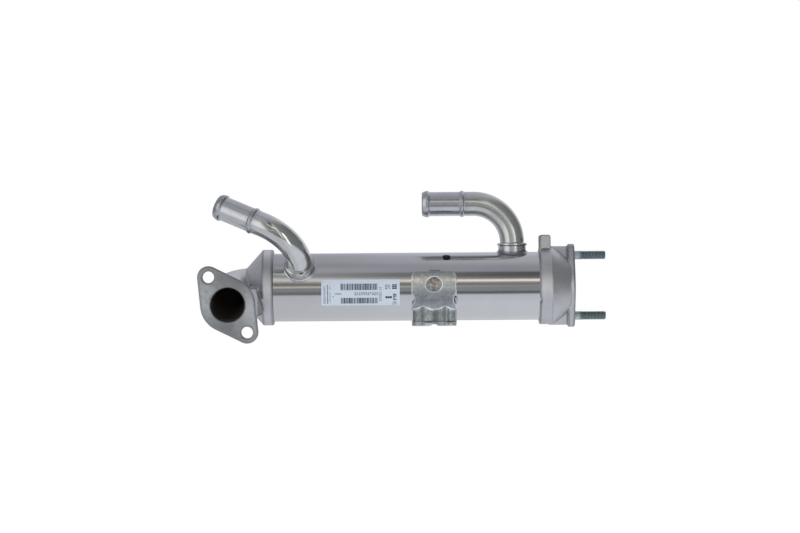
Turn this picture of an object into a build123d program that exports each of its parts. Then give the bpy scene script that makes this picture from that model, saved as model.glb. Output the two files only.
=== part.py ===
from build123d import *
import os
from math import acos, asin, atan2, cos, degrees, hypot, radians, sin

# Exhaust gas cooler: a round steel shell with a bundle of gas tubes inside, a cast elbow at its inlet,
# a cast outlet with two studs, two coolant pipes and a saddle bracket.
# Millimetres, +Z up. The shell's axis is the X axis, and the gas leaves along +X.
# The origin is the centre of the outlet flange's face. The front of the cooler looks along -Y.
# A front angle is measured about the X axis from -Y (the front) towards +Z (the top).

# How far a cutting tool runs past the face that it opens
CUT_MARGIN = 1.0

# Shell
SHELL_RADIUS = 24.0
SHELL_WALL = 1.2
SHELL_LEFT_X = -217.4
SHELL_RIGHT_X = -17.4
SHELL_BORE = SHELL_RADIUS - SHELL_WALL

# Both castings
GAS_BORE = 11.7
CAST_RADIAL_WALL = 4.2
EDGE_BREAK = 0.8

# Outlet casting, from the ring on the left to the flange face at X = 0
OUTLET_RING_RADIUS = 27.2
OUTLET_RING_LEFT_X = -25.2
OUTLET_RING_RIGHT_X = -16.2
OUTLET_CONE_END_X = -2.8
OUTLET_CONE_END_RADIUS = 19.1
OUTLET_FLANGE = 5.0
OUTLET_LOBE_RADIUS = 19.3
OUTLET_END_RADIUS = 8.0
STUD_OFFSET = 21.3
STUD_BOSS_RADIUS = 6.5
BODY_INSET = 1.5
BODY_LEFT_X = -18.2
LUG_LEFT_X = -24.9
LUG_WIDTH = 8.0
LUG_SIDE_BREAK = 1.2
LUG_DEPTH = 18.0
LUG_TOP_Z = 35.8
LUG_CORNER = 1.8
NOTCH_RADIUS = 2.5
NOTCH_DEPTH = 1.1
NOTCH_Z = -10.4

# Studs: a thin seat in the casting's tapped hole, and the full thread outside it
STUD_RADIUS = 3.0
STUD_SEAT_RADIUS = 2.7
STUD_SEAT = 9.0
STUD_REACH = 22.0
STUD_MOUTH_RADIUS = 3.3
STUD_TIP_ROUND = 1.0

# Inlet casting, from the ring on the right to the flange face on the front
INLET_RING_RADIUS = 26.7
INLET_RING_RIGHT_X = -211.9
INLET_RING_LEFT_X = -219.4
INLET_CONE_END_X = -231.4
INLET_CONE_END_RADIUS = 13.3
INLET_X = -242.5
INLET_Z = -11.5
INLET_FACE_Y = -45.0
INLET_FLANGE = 7.5
INLET_LOBE_RADIUS = 19.1
INLET_END_RADIUS = 7.7
INLET_HOLE_SPACING = 46.8
INLET_HOLE_RADIUS = 4.1
INLET_HOLE_TILT = 34.7
INLET_BACK_Y = INLET_FACE_Y + INLET_FLANGE
SPOT_FACE_Y = INLET_BACK_Y + 4.0
ELBOW_BEND = 16.5
ELBOW_RADIUS = 13.8
ELBOW_BORE = 11.0
INNER_CONE_END_RADIUS = 9.0
ELBOW_RUN = 30.0
FLANGE_BREAK = 0.4
GUSSET_BACK_Y = -11.0
GUSSET_INNER_X = -238.0
GUSSET_TOP_Z = 0.5
GUSSET_BOTTOM_Z = -21.6
GUSSET_FRONT_X = -228.5
GUSSET_FRONT_SLOPE = 38.5

# Coolant pipes: both are the same bent tube, which stands on the shell along a radius
PIPE_RADIUS = 8.5
PIPE_WALL = 1.2
PIPE_BEND = 27.2
PIPE_BEND_HEIGHT = 30.9
PIPE_HOSE_LENGTH = 36.3
TIP_RADIUS = 8.0
TIP_BREAK = 0.6
TIP_BEAD_RADIUS = 9.4
TIP_BEAD_WIDTH = 1.0
TIP_BEAD_END = 5.6
STOP_BEAD_RADIUS = 9.3
STOP_BEAD_WIDTH = 1.2
STOP_BEAD_FOOT = 3.2
STOP_BEAD_FROM_TIP = 28.2
SEAT_BEAD_RADIUS = 10.5
SEAT_BEAD_HEIGHT = 28.0
SEAT_BEAD_WIDTH = 1.1
SOCKET_RADIUS = 9.7
SOCKET_FOOT_FILLET = 1.8
PIPE_BORE = PIPE_RADIUS - PIPE_WALL
RIGHT_PIPE_X = -43.8
RIGHT_PIPE_ANGLE = 90.0
RIGHT_PIPE_TURN = 0.0
LEFT_PIPE_X = -193.3
LEFT_PIPE_ANGLE = 35.0
LEFT_PIPE_TURN = 27.4
PIPE_PLACES = (
    ("right", RIGHT_PIPE_X, RIGHT_PIPE_ANGLE, RIGHT_PIPE_TURN),
    ("left", LEFT_PIPE_X, LEFT_PIPE_ANGLE, LEFT_PIPE_TURN),
)

# Saddle bracket
BRACKET_X = -99.3
BRACKET_WIDTH = 31.4
BRACKET_THICKNESS = 3.2
BRACKET_TOP_ANGLE = 23.6
BRACKET_BOTTOM_ANGLE = -50.0
BRACKET_CORNER = 4.0
BRACKET_HOLE_RADIUS = 4.8
BRACKET_HOLE_CHAMFER = 1.2
BRACKET_HOLE_Z = 1.8
BRACKET_WAIST_Z = -9.0
BRACKET_WAIST_RADIUS = 4.2
BRACKET_WAIST_DEPTH = 2.0
SKIRT_TOP_Z = -12.0
SKIRT_BOTTOM_Z = -27.6
SKIRT_VALLEY_Y = -22.0
SKIRT_CREST_Y = -23.4
SKIRT_RIM_HEIGHT = 3.0
SKIRT_RIM_RISE = 0.5
SKIRT_RIM_BREAK = 0.45
SKIRT_NOTCH_RADIUS = 3.4
SKIRT_NOTCH_DEPTH = 1.2
WELD_RADIUS = 1.4
WELD_END_BREAK = 0.8
WELD_RISE = 0.3
TOP_WELD_LENGTH = 8.0
TOP_WELD_X = -98.9
TOP_WELD_ANGLE = BRACKET_TOP_ANGLE + 2.5
SIDE_WELD_LENGTH = 5.0
SIDE_WELD_X = -84.2

# Label
LABEL_LEFT_X = -178.1
LABEL_LENGTH = 54.8
LABEL_THICKNESS = 0.15
LABEL_TOP_ANGLE = 12.4
LABEL_BOTTOM_ANGLE = -31.8

# Gas tubes and the plates that hold them
TUBE_RADIUS = 6.0
TUBE_WALL = 0.6
TUBE_PITCH = 14.4
TUBE_PLATE = 2.0
BAFFLE_THICKNESS = 1.2
BAFFLE_RADIUS = SHELL_BORE - 0.3
BAFFLE_CUT = 11.0
BAFFLE_HOLE_GAP = 0.1
BAFFLE_X = (-150.0, -84.0)


def turned(points):
    """Solid of revolution about the X axis, from an outline of (x, radius) points."""
    face = make_face(Polyline(*points, close=True))
    return revolve(face, Axis.X, 360)


def along_x(radius, left, right, y=0.0, z=0.0):
    """Round bar along X."""
    start = Plane((left, y, z), x_dir=(0, 1, 0), z_dir=(1, 0, 0))
    return extrude(start * Circle(radius), right - left)


def along_y(radius, front, back, x=0.0, z=0.0):
    """Round bar along Y."""
    start = Plane((x, front, z), x_dir=(1, 0, 0), z_dir=(0, 1, 0))
    return extrude(start * Circle(radius), back - front)


def shell_form():
    """Solid with the shell's outside, for trimming what sits on it."""
    return along_x(SHELL_RADIUS, SHELL_LEFT_X, SHELL_RIGHT_X)


def rhombus(lobe_radius, end_radius, end_offset):
    """Two-bolt flange outline: a middle circle and two end circles, joined by tangents."""
    lean = acos((lobe_radius - end_radius) / end_offset)

    def touch(radius, centre_y, side, end):
        return (side * radius * sin(lean), end * (centre_y + radius * cos(lean)))

    outline = []
    for end in (1, -1):
        left = touch(end_radius, end_offset, -1, end)
        right = touch(end_radius, end_offset, 1, end)
        outline.append(ThreePointArc(left, (0, end * (end_offset + end_radius)), right))
    for side in (1, -1):
        upper = touch(lobe_radius, 0, side, 1)
        lower = touch(lobe_radius, 0, side, -1)
        outline.append(ThreePointArc(upper, (side * lobe_radius, 0), lower))
        for end in (1, -1):
            outline.append(Line(touch(end_radius, end_offset, side, end), touch(lobe_radius, 0, side, end)))
    return make_face(outline)


def placed_on_shell(part, x, front_angle, turn):
    """Moves a pipe part, modelled upright on the shell, to its place along and around the shell."""
    turned_part = Rot(0, 0, -turn) * part
    return Pos(x, 0, 0) * Rot(90 - front_angle, 0, 0) * turned_part


def sector(inner, outer, low_angle, high_angle, left, length):
    """Curved plate on the shell's front between two front angles."""
    middle = (low_angle + high_angle) / 2

    def point(radius, angle):
        return (-radius * cos(radians(angle)), radius * sin(radians(angle)))

    outline = [
        ThreePointArc(point(outer, low_angle), point(outer, middle), point(outer, high_angle)),
        Line(point(outer, high_angle), point(inner, high_angle)),
        ThreePointArc(point(inner, high_angle), point(inner, middle), point(inner, low_angle)),
        Line(point(inner, low_angle), point(outer, low_angle)),
    ]
    start = Plane((left, 0, 0), x_dir=(0, 1, 0), z_dir=(1, 0, 0))
    return extrude(start * make_face(outline), length)


def shell_tube():
    """Round tube with an opening under each coolant pipe."""
    tube = shell_form() - along_x(SHELL_BORE, SHELL_LEFT_X, SHELL_RIGHT_X)
    drill = Pos(0, 0, SHELL_RADIUS) * Cylinder(PIPE_BORE, SHELL_RADIUS)
    for name, x, angle, turn in PIPE_PLACES:
        tube -= placed_on_shell(drill, x, angle, turn)
    return tube


def outlet_cavity():
    """Space inside the outlet casting: the shell's socket, a cone and the gas bore."""
    return turned([
        (OUTLET_RING_LEFT_X - CUT_MARGIN, 0),
        (OUTLET_RING_LEFT_X - CUT_MARGIN, SHELL_RADIUS),
        (SHELL_RIGHT_X, SHELL_RADIUS),
        (SHELL_RIGHT_X, SHELL_BORE),
        (OUTLET_RING_RIGHT_X, SHELL_BORE),
        (-OUTLET_FLANGE, GAS_BORE),
        (CUT_MARGIN, GAS_BORE),
        (CUT_MARGIN, 0),
    ])


def outlet_flange_plate():
    """Upright rhombic plate with rounded edges."""
    start = Plane((-OUTLET_FLANGE, 0, 0), x_dir=(0, 1, 0), z_dir=(1, 0, 0))
    plate = extrude(start * rhombus(OUTLET_LOBE_RADIUS, OUTLET_END_RADIUS, STUD_OFFSET), OUTLET_FLANGE)
    rims = plate.faces().filter_by(Axis.X).edges()
    return chamfer(rims, EDGE_BREAK)


def lug():
    """Solid ear on top of the outlet ring, with rounded top corners."""
    height = LUG_TOP_Z - SHELL_RADIUS
    block = Pos(LUG_LEFT_X + LUG_WIDTH / 2, 0, LUG_TOP_Z - height / 2) * Box(LUG_WIDTH, LUG_DEPTH, height)
    left_edges = block.edges().filter_by(Axis.Z).group_by(Axis.X)[0]
    block = chamfer(left_edges, LUG_SIDE_BREAK)
    top_edges = block.edges().group_by(Axis.Z)[-1]
    return fillet(top_edges.filter_by(Axis.Y), LUG_CORNER)


def tapped_hole():
    """Hole for a stud's seat, with a chamfered mouth a little wider than the stud."""
    return turned([
        (-STUD_SEAT, 0),
        (-STUD_SEAT, STUD_SEAT_RADIUS),
        (STUD_SEAT_RADIUS - STUD_MOUTH_RADIUS, STUD_SEAT_RADIUS),
        (0, STUD_MOUTH_RADIUS),
        (CUT_MARGIN, STUD_MOUTH_RADIUS),
        (CUT_MARGIN, 0),
    ])


def outlet_casting():
    """Ring with a lug, cone, rhombic body for the studs and flange in one casting."""
    body = turned([
        (OUTLET_RING_LEFT_X, 0),
        (OUTLET_RING_LEFT_X, OUTLET_RING_RADIUS - EDGE_BREAK),
        (OUTLET_RING_LEFT_X + EDGE_BREAK, OUTLET_RING_RADIUS),
        (OUTLET_RING_RIGHT_X, OUTLET_RING_RADIUS),
        (OUTLET_CONE_END_X, OUTLET_CONE_END_RADIUS),
        (OUTLET_CONE_END_X, 0),
    ])
    behind_ring_edge = Plane((BODY_LEFT_X, 0, 0), x_dir=(0, 1, 0), z_dir=(1, 0, 0))
    outline = rhombus(OUTLET_LOBE_RADIUS - BODY_INSET, STUD_BOSS_RADIUS, STUD_OFFSET)
    body += extrude(behind_ring_edge * outline, -OUTLET_FLANGE - BODY_LEFT_X)
    body += outlet_flange_plate()
    body += lug()
    body -= outlet_cavity()
    for side in (1, -1):
        body -= Pos(0, 0, side * STUD_OFFSET) * tapped_hole()
    notch_x = OUTLET_RING_LEFT_X + NOTCH_DEPTH - NOTCH_RADIUS
    body -= along_y(NOTCH_RADIUS, -OUTLET_RING_RADIUS - CUT_MARGIN, -SHELL_RADIUS / 2, x=notch_x, z=NOTCH_Z)
    return body


def stud(side):
    """Stud with its tip rounded, screwed into its boss up to the flange's face."""
    rod = along_x(STUD_RADIUS, 0, STUD_REACH, z=side * STUD_OFFSET)
    tip = rod.faces().sort_by(Axis.X)[-1].edges()
    return fillet(tip, STUD_TIP_ROUND) + along_x(STUD_SEAT_RADIUS, -STUD_SEAT, 0, z=side * STUD_OFFSET)


def elbow(radius, front_y):
    """Round bar from the shell's axis round the inlet's bend, then straight and slightly down to front_y."""
    slope = atan2(-INLET_Z, -INLET_BACK_Y)
    bend_normal = (0, -sin(slope), cos(slope))
    start = (INLET_X + ELBOW_BEND, 0, 0)
    bend_plane = Plane(start, x_dir=(-1, 0, 0), z_dir=bend_normal)
    arc = bend_plane * JernArc((0, 0), (1, 0), ELBOW_BEND, 90)
    run = Line(arc @ 1, arc @ 1 + (arc % 1) * ELBOW_RUN)
    bar = sweep(Plane(start, z_dir=(-1, 0, 0)) * Circle(radius), path=Wire([arc, run]))
    return split(bar, Plane((0, front_y, 0), x_dir=(1, 0, 0), z_dir=(0, 1, 0)), keep=Keep.TOP)


def inlet_flange_plate():
    """Rhombic plate that faces the front, its holes on a tilted line."""
    start = Plane((INLET_X, INLET_FACE_Y, INLET_Z), x_dir=(1, 0, 0), z_dir=(0, -1, 0))
    outline = Rot(0, 0, INLET_HOLE_TILT) * rhombus(INLET_LOBE_RADIUS, INLET_END_RADIUS, INLET_HOLE_SPACING / 2)
    plate = extrude(start * outline, -INLET_FLANGE)
    front_rim = plate.faces().sort_by(Axis.Y)[0].edges()
    return chamfer(front_rim, FLANGE_BREAK)


def gusset():
    """Rib that ties the flange's neck to the ring on the lower right, with a sloping front."""
    right_side = Spline((-222.8, GUSSET_TOP_Z), (-219.6, -11.0), (-218.8, -17.0), (-222.6, GUSSET_BOTTOM_Z))
    others = Polyline(
        right_side @ 1,
        (GUSSET_INNER_X, GUSSET_BOTTOM_Z),
        (GUSSET_INNER_X, GUSSET_TOP_Z),
        right_side @ 0,
    )
    outline = make_face([right_side, others])
    block = extrude(Plane.XZ.offset(-GUSSET_BACK_Y) * outline, GUSSET_BACK_Y - INLET_BACK_Y)
    slope = radians(GUSSET_FRONT_SLOPE)
    front_cut = Plane(
        (GUSSET_FRONT_X, INLET_BACK_Y, 0), x_dir=(0, 0, 1), z_dir=(sin(slope), -cos(slope), 0)
    )
    block = split(block, front_cut, keep=Keep.BOTTOM)
    below_neck = Plane((0, INLET_BACK_Y, GUSSET_BOTTOM_Z), x_dir=(1, 0, 0), z_dir=(0, INLET_Z, -INLET_BACK_Y))
    return split(block, below_neck, keep=Keep.TOP)


def inlet_cavity():
    """Space inside the inlet casting: the shell's socket, a cone, the elbow and the gas bore."""
    slope = (INLET_RING_RADIUS - INLET_CONE_END_RADIUS) / (INLET_RING_LEFT_X - INLET_CONE_END_X)
    cone_radius = INLET_RING_RADIUS - CAST_RADIAL_WALL
    cone_end_x = INLET_RING_LEFT_X - (cone_radius - INNER_CONE_END_RADIUS) / slope
    space = turned([
        (INLET_RING_RIGHT_X + CUT_MARGIN, 0),
        (INLET_RING_RIGHT_X + CUT_MARGIN, SHELL_RADIUS),
        (SHELL_LEFT_X, SHELL_RADIUS),
        (SHELL_LEFT_X, SHELL_BORE),
        (INLET_RING_LEFT_X, cone_radius),
        (cone_end_x, INNER_CONE_END_RADIUS),
        (cone_end_x, 0),
    ])
    space += elbow(ELBOW_BORE, INLET_BACK_Y)
    space += along_y(GAS_BORE, INLET_FACE_Y - CUT_MARGIN, INLET_BACK_Y, INLET_X, INLET_Z)
    return space


def inlet_casting():
    """Ring, cone, elbow and two-bolt flange in one casting."""
    body = turned([
        (INLET_RING_RIGHT_X, 0),
        (INLET_RING_RIGHT_X, INLET_RING_RADIUS - EDGE_BREAK),
        (INLET_RING_RIGHT_X - EDGE_BREAK, INLET_RING_RADIUS),
        (INLET_RING_LEFT_X, INLET_RING_RADIUS),
        (INLET_CONE_END_X, INLET_CONE_END_RADIUS),
        (INLET_CONE_END_X, 0),
    ])
    body += elbow(ELBOW_RADIUS, INLET_BACK_Y)
    body += gusset()
    body += inlet_flange_plate()
    body -= inlet_cavity()
    for side in (1, -1):
        across = side * sin(radians(INLET_HOLE_TILT)) * INLET_HOLE_SPACING / 2
        up = side * cos(radians(INLET_HOLE_TILT)) * INLET_HOLE_SPACING / 2
        drill_x = INLET_X - across
        drill_z = INLET_Z + up
        body -= along_y(INLET_HOLE_RADIUS, INLET_FACE_Y - CUT_MARGIN, SPOT_FACE_Y, drill_x, drill_z)
    return body


def pipe_path():
    """Centre line of an upright pipe: up from the shell's axis, round the bend and along -X to the tip."""
    top = PIPE_BEND_HEIGHT + PIPE_BEND
    leg = Line((0, 0, 0), (0, 0, PIPE_BEND_HEIGHT))
    bend = Plane.XZ * JernArc((0, PIPE_BEND_HEIGHT), (0, 1), PIPE_BEND, 90)
    hose_end = Line((-PIPE_BEND, 0, top), (-PIPE_BEND - PIPE_HOSE_LENGTH, 0, top))
    return leg, bend, hose_end


def pipe_leg():
    """The pipe's outside from the shell's axis up to the bend, with the bead that sits on the ferrule."""
    outline = [
        (0, 0),
        (0, PIPE_RADIUS),
        (SEAT_BEAD_HEIGHT, PIPE_RADIUS),
        (SEAT_BEAD_HEIGHT, SEAT_BEAD_RADIUS),
        (SEAT_BEAD_HEIGHT + SEAT_BEAD_WIDTH, SEAT_BEAD_RADIUS),
        (PIPE_BEND_HEIGHT, PIPE_RADIUS),
        (PIPE_BEND_HEIGHT, 0),
    ]
    return Rot(0, -90, 0) * turned(outline)


def pipe_hose_end():
    """The pipe's outside from the bend to the tip, with the hose's stop bead and the tip's barb."""
    tip_x = -PIPE_BEND - PIPE_HOSE_LENGTH
    stop_x = tip_x + STOP_BEAD_FROM_TIP
    outline = [
        (tip_x, 0),
        (tip_x, TIP_RADIUS),
        (tip_x + TIP_BREAK, TIP_RADIUS + TIP_BREAK),
        (tip_x + TIP_BEAD_END - 2 * TIP_BEAD_WIDTH, TIP_BEAD_RADIUS),
        (tip_x + TIP_BEAD_END - TIP_BEAD_WIDTH, TIP_BEAD_RADIUS),
        (tip_x + TIP_BEAD_END, PIPE_RADIUS),
        (stop_x - STOP_BEAD_FOOT / 2, PIPE_RADIUS),
        (stop_x - STOP_BEAD_WIDTH / 2, STOP_BEAD_RADIUS),
        (stop_x + STOP_BEAD_WIDTH / 2, STOP_BEAD_RADIUS),
        (stop_x + STOP_BEAD_FOOT / 2, PIPE_RADIUS),
        (-PIPE_BEND, PIPE_RADIUS),
        (-PIPE_BEND, 0),
    ]
    return Pos(0, 0, PIPE_BEND_HEIGHT + PIPE_BEND) * turned(outline)


def upright_pipe():
    """Coolant pipe with its leg along Z over the origin and its hose end pointing along -X."""
    leg, bend, hose_end = pipe_path()
    outside = pipe_leg() + pipe_hose_end()
    outside += sweep(Plane((0, 0, PIPE_BEND_HEIGHT)) * Circle(PIPE_RADIUS), path=bend)
    bore = sweep(Plane((0, 0, 0)) * Circle(PIPE_BORE), path=Wire([leg, bend, hose_end]))
    return outside - bore


def upright_socket():
    """Ferrule round the pipe's leg, with a filleted foot that follows the shell."""
    shell = along_x(SHELL_RADIUS, -PIPE_BEND, PIPE_BEND)
    collar = Pos(0, 0, SEAT_BEAD_HEIGHT / 2) * Cylinder(SOCKET_RADIUS, SEAT_BEAD_HEIGHT)
    joined = shell + collar
    foot = [edge for edge in joined.edges() if is_foot(edge)]
    joined = fillet(foot, SOCKET_FOOT_FILLET)
    bore = Pos(0, 0, SEAT_BEAD_HEIGHT / 2) * Cylinder(PIPE_RADIUS, SEAT_BEAD_HEIGHT)
    return joined - shell - bore


def is_foot(edge):
    """True for the edges where the ferrule's wall meets the shell."""
    middle = edge @ 0.5
    return abs(hypot(middle.X, middle.Y) - SOCKET_RADIUS) < 0.1 and middle.Z < SHELL_RADIUS + 0.1


def bracket_outline_cut():
    """Solid of the bracket's outline seen from the front: rounded top corners and a waist on each side."""
    outer = SHELL_RADIUS + BRACKET_THICKNESS
    top_z = outer * sin(radians(BRACKET_TOP_ANGLE))
    height = top_z - SKIRT_BOTTOM_Z + CUT_MARGIN
    face = Pos(0, top_z - height / 2) * Rectangle(BRACKET_WIDTH, height)
    upper_corners = face.vertices().group_by(Axis.Y)[-1]
    face = fillet(upper_corners, BRACKET_CORNER)
    for side in (1, -1):
        centre_x = side * (BRACKET_WIDTH / 2 + BRACKET_WAIST_RADIUS - BRACKET_WAIST_DEPTH)
        face -= Pos(centre_x, BRACKET_WAIST_Z) * Circle(BRACKET_WAIST_RADIUS)
    start = Plane((BRACKET_X, 0, 0), x_dir=(1, 0, 0), z_dir=(0, -1, 0))
    return extrude(start * face, outer + CUT_MARGIN)


def skirt_wave(shift):
    """Line with two crests across the bracket's width, moved back by shift."""
    quarter = BRACKET_WIDTH / 4
    points = []
    for step in range(-2, 3):
        y = SKIRT_CREST_Y if step % 2 else SKIRT_VALLEY_Y
        points.append((BRACKET_X + step * quarter, y + shift))
    return Spline(*points, tangents=[(1, 0), (1, 0)])


def wavy_plate(rise, height):
    """Upright plate with two shallow crests, standing on the skirt's foot."""
    front = skirt_wave(-rise)
    back = skirt_wave(BRACKET_THICKNESS)
    outline = make_face([front, back, Line(front @ 0, back @ 0), Line(front @ 1, back @ 1)])
    return extrude(Plane((0, 0, SKIRT_BOTTOM_Z)) * outline, height)


def skirt():
    """Wavy skirt below the saddle, with a thicker rim and a shallow notch at its foot."""
    rim = wavy_plate(SKIRT_RIM_RISE, SKIRT_RIM_HEIGHT)
    front_edges = [edge for edge in rim.faces().filter_by(Axis.Z).edges() if (edge @ 0.5).Y < SKIRT_VALLEY_Y]
    rim = chamfer(front_edges, SKIRT_RIM_BREAK)
    plate = wavy_plate(0, SKIRT_TOP_Z - SKIRT_BOTTOM_Z) + rim
    notch_z = SKIRT_BOTTOM_Z + SKIRT_NOTCH_DEPTH - SKIRT_NOTCH_RADIUS
    return plate - along_y(SKIRT_NOTCH_RADIUS, -2 * SHELL_RADIUS, 0, BRACKET_X, notch_z)


def weld(x, angle, length, turn):
    """Short weld bead on the shell's surface, centred at a front angle."""
    line = Rot(0, 90, 0) * Cylinder(WELD_RADIUS, length)
    line = chamfer(line.edges(), WELD_END_BREAK)
    on_top = Pos(0, 0, SHELL_RADIUS + WELD_RISE) * Rot(0, 0, turn) * line
    return placed_on_shell(on_top, x, angle, 0)


def bracket_hole(outer):
    """Round hole in the saddle with a chamfered mouth."""
    mouth = Plane((BRACKET_X, -outer, BRACKET_HOLE_Z), x_dir=(1, 0, 0), z_dir=(0, 1, 0))
    wide = mouth * Circle(BRACKET_HOLE_RADIUS + BRACKET_HOLE_CHAMFER)
    narrow = mouth.offset(BRACKET_HOLE_CHAMFER) * Circle(BRACKET_HOLE_RADIUS)
    drill = along_y(BRACKET_HOLE_RADIUS, -outer - CUT_MARGIN, -SHELL_RADIUS / 2, BRACKET_X, BRACKET_HOLE_Z)
    return drill + loft([wide, narrow])


def mounting_bracket():
    """Saddle welded to the shell's front, with one chamfered hole and a wavy skirt below."""
    outer = SHELL_RADIUS + BRACKET_THICKNESS
    left = BRACKET_X - BRACKET_WIDTH / 2
    saddle = sector(SHELL_RADIUS, outer, BRACKET_BOTTOM_ANGLE, BRACKET_TOP_ANGLE, left, BRACKET_WIDTH)
    saddle = saddle & bracket_outline_cut()
    saddle += skirt()
    saddle -= bracket_hole(outer)
    saddle += weld(TOP_WELD_X, TOP_WELD_ANGLE, TOP_WELD_LENGTH, 0)
    waist_angle = degrees(asin(BRACKET_WAIST_Z / SHELL_RADIUS))
    saddle += weld(SIDE_WELD_X, waist_angle, SIDE_WELD_LENGTH, 90)
    return saddle - along_x(SHELL_RADIUS, left - CUT_MARGIN, SIDE_WELD_X + SIDE_WELD_LENGTH)


def label():
    """Paper label on the shell's front."""
    outer = SHELL_RADIUS + LABEL_THICKNESS
    return sector(SHELL_RADIUS, outer, LABEL_BOTTOM_ANGLE, LABEL_TOP_ANGLE, LABEL_LEFT_X, LABEL_LENGTH)


def tube_centres():
    """Places of the gas tubes in (y, z): one in the middle and six round it."""
    around = [PolarLocations(TUBE_PITCH, 6).locations[i].position for i in range(6)]
    return [(0.0, 0.0)] + [(place.X, place.Y) for place in around]


def gas_tube(y, z):
    """Thin tube from plate to plate."""
    outside = along_x(TUBE_RADIUS, SHELL_LEFT_X, SHELL_RIGHT_X, y, z)
    return outside - along_x(TUBE_RADIUS - TUBE_WALL, SHELL_LEFT_X, SHELL_RIGHT_X, y, z)


def tube_plate(left):
    """Disc with a hole for each gas tube."""
    disc = along_x(SHELL_BORE, left, left + TUBE_PLATE)
    for y, z in tube_centres():
        disc -= along_x(TUBE_RADIUS, left - CUT_MARGIN, left + TUBE_PLATE + CUT_MARGIN, y, z)
    return disc


def support_baffle(left, side):
    """Disc with one segment cut away, so that the coolant turns round it."""
    disc = along_x(BAFFLE_RADIUS, left, left + BAFFLE_THICKNESS)
    window_height = 2 * BAFFLE_RADIUS
    window_z = side * (BAFFLE_CUT + window_height / 2)
    disc -= Pos(left, 0, window_z) * Box(4 * BAFFLE_THICKNESS, 3 * BAFFLE_RADIUS, window_height)
    for y, z in tube_centres():
        hole = TUBE_RADIUS + BAFFLE_HOLE_GAP
        disc -= along_x(hole, left - CUT_MARGIN, left + BAFFLE_THICKNESS + CUT_MARGIN, y, z)
    return disc


def save(part, name):
    """Writes one piece to its own file."""
    export_step(part, f"parts/{name}.step")


def main():
    os.makedirs("parts", exist_ok=True)
    save(shell_tube(), "shell_tube")
    save(inlet_casting(), "inlet_casting")
    save(outlet_casting(), "outlet_casting")
    pipe = upright_pipe()
    socket = upright_socket()
    for name, x, angle, turn in PIPE_PLACES:
        save(placed_on_shell(pipe, x, angle, turn) - shell_form(), f"{name}_coolant_pipe")
        save(placed_on_shell(socket, x, angle, 0), f"{name}_pipe_socket")
    save(mounting_bracket(), "mounting_bracket")
    save(label(), "label")
    save(stud(1), "upper_stud")
    save(stud(-1), "lower_stud")
    save(tube_plate(SHELL_LEFT_X), "inlet_tube_plate")
    save(tube_plate(SHELL_RIGHT_X - TUBE_PLATE), "outlet_tube_plate")
    for number, (y, z) in enumerate(tube_centres(), start=1):
        save(gas_tube(y, z), f"gas_tube_{number}")
    for number, left in enumerate(BAFFLE_X, start=1):
        side = 1 if number % 2 else -1
        save(support_baffle(left, side), f"support_baffle_{number}")


main()
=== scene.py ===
from math import asin, atan2, cos, pi, radians, sin

import bmesh
import bpy
from bpy.props import FloatProperty, FloatVectorProperty, IntProperty, PointerProperty
from mathutils import Matrix, Vector, geometry, noise


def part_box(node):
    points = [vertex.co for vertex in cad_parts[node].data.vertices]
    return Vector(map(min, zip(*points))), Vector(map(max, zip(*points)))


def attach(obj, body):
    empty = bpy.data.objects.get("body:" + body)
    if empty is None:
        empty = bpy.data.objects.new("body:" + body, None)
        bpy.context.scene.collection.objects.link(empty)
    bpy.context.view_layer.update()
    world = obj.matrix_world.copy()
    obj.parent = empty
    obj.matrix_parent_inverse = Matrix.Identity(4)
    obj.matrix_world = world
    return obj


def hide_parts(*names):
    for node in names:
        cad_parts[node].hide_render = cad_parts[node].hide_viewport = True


bl_info = {
    "name": "Exhaust Gas Cooler",
    "version": (1, 0, 0),
    "blender": (4, 5, 0),
    "location": "View3D > Sidebar > Cooler",
    "description": "Finishes of a tubular exhaust gas cooler and the stage that it is shown on",
    "category": "Object",
}

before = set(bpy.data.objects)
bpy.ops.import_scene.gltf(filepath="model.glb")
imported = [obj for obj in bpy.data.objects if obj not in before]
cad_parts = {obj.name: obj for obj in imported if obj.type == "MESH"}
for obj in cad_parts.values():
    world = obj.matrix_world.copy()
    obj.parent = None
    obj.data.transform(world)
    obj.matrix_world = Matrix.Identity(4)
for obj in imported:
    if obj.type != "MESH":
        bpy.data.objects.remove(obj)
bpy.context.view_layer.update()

# Sizes are metres. Angles round the shell start at the front (-Y) and grow towards the top (+Z).
MM = 0.001
BODY = "root"
SHELL_LOW, SHELL_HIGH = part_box("shell_tube")
SHELL_RADIUS = (SHELL_HIGH.y - SHELL_LOW.y) / 2
LABEL_LOW, LABEL_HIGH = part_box("label")
STUD_LOW, STUD_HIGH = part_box("upper_stud")
STUD_RADIUS = (STUD_HIGH.y - STUD_LOW.y) / 2
STUD_OFFSET = (STUD_HIGH.z + STUD_LOW.z) / 2
INLET_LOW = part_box("inlet_casting")[0]
OUTLET_LOW, OUTLET_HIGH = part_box("outlet_casting")

# Pipes: place along the shell, angle round it and turn about the pipe's own leg
PIPE_PLACES = {
    "right_coolant_pipe": (-43.8 * MM, 90.0, 0.0),
    "left_coolant_pipe": (-193.3 * MM, 35.0, 27.4),
}
PIPE_START_HEIGHT = 22.2 * MM
PIPE_BEND_HEIGHT = 30.9 * MM
# Middle of the inlet's bore along the shell and upwards
INLET_BORE = (-242.5 * MM, -11.5 * MM)
# Middle of the bracket's hole along the shell and upwards
HOLE_X, HOLE_Z = -99.3 * MM, 1.8 * MM

SMALLEST_GAP = 1e-6
SHARP_ANGLE = radians(38)
FULL_TURN = 2 * pi
BLACK = (0.0, 0.0, 0.0, 1.0)
WHITE = (1.0, 1.0, 1.0, 1.0)


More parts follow.
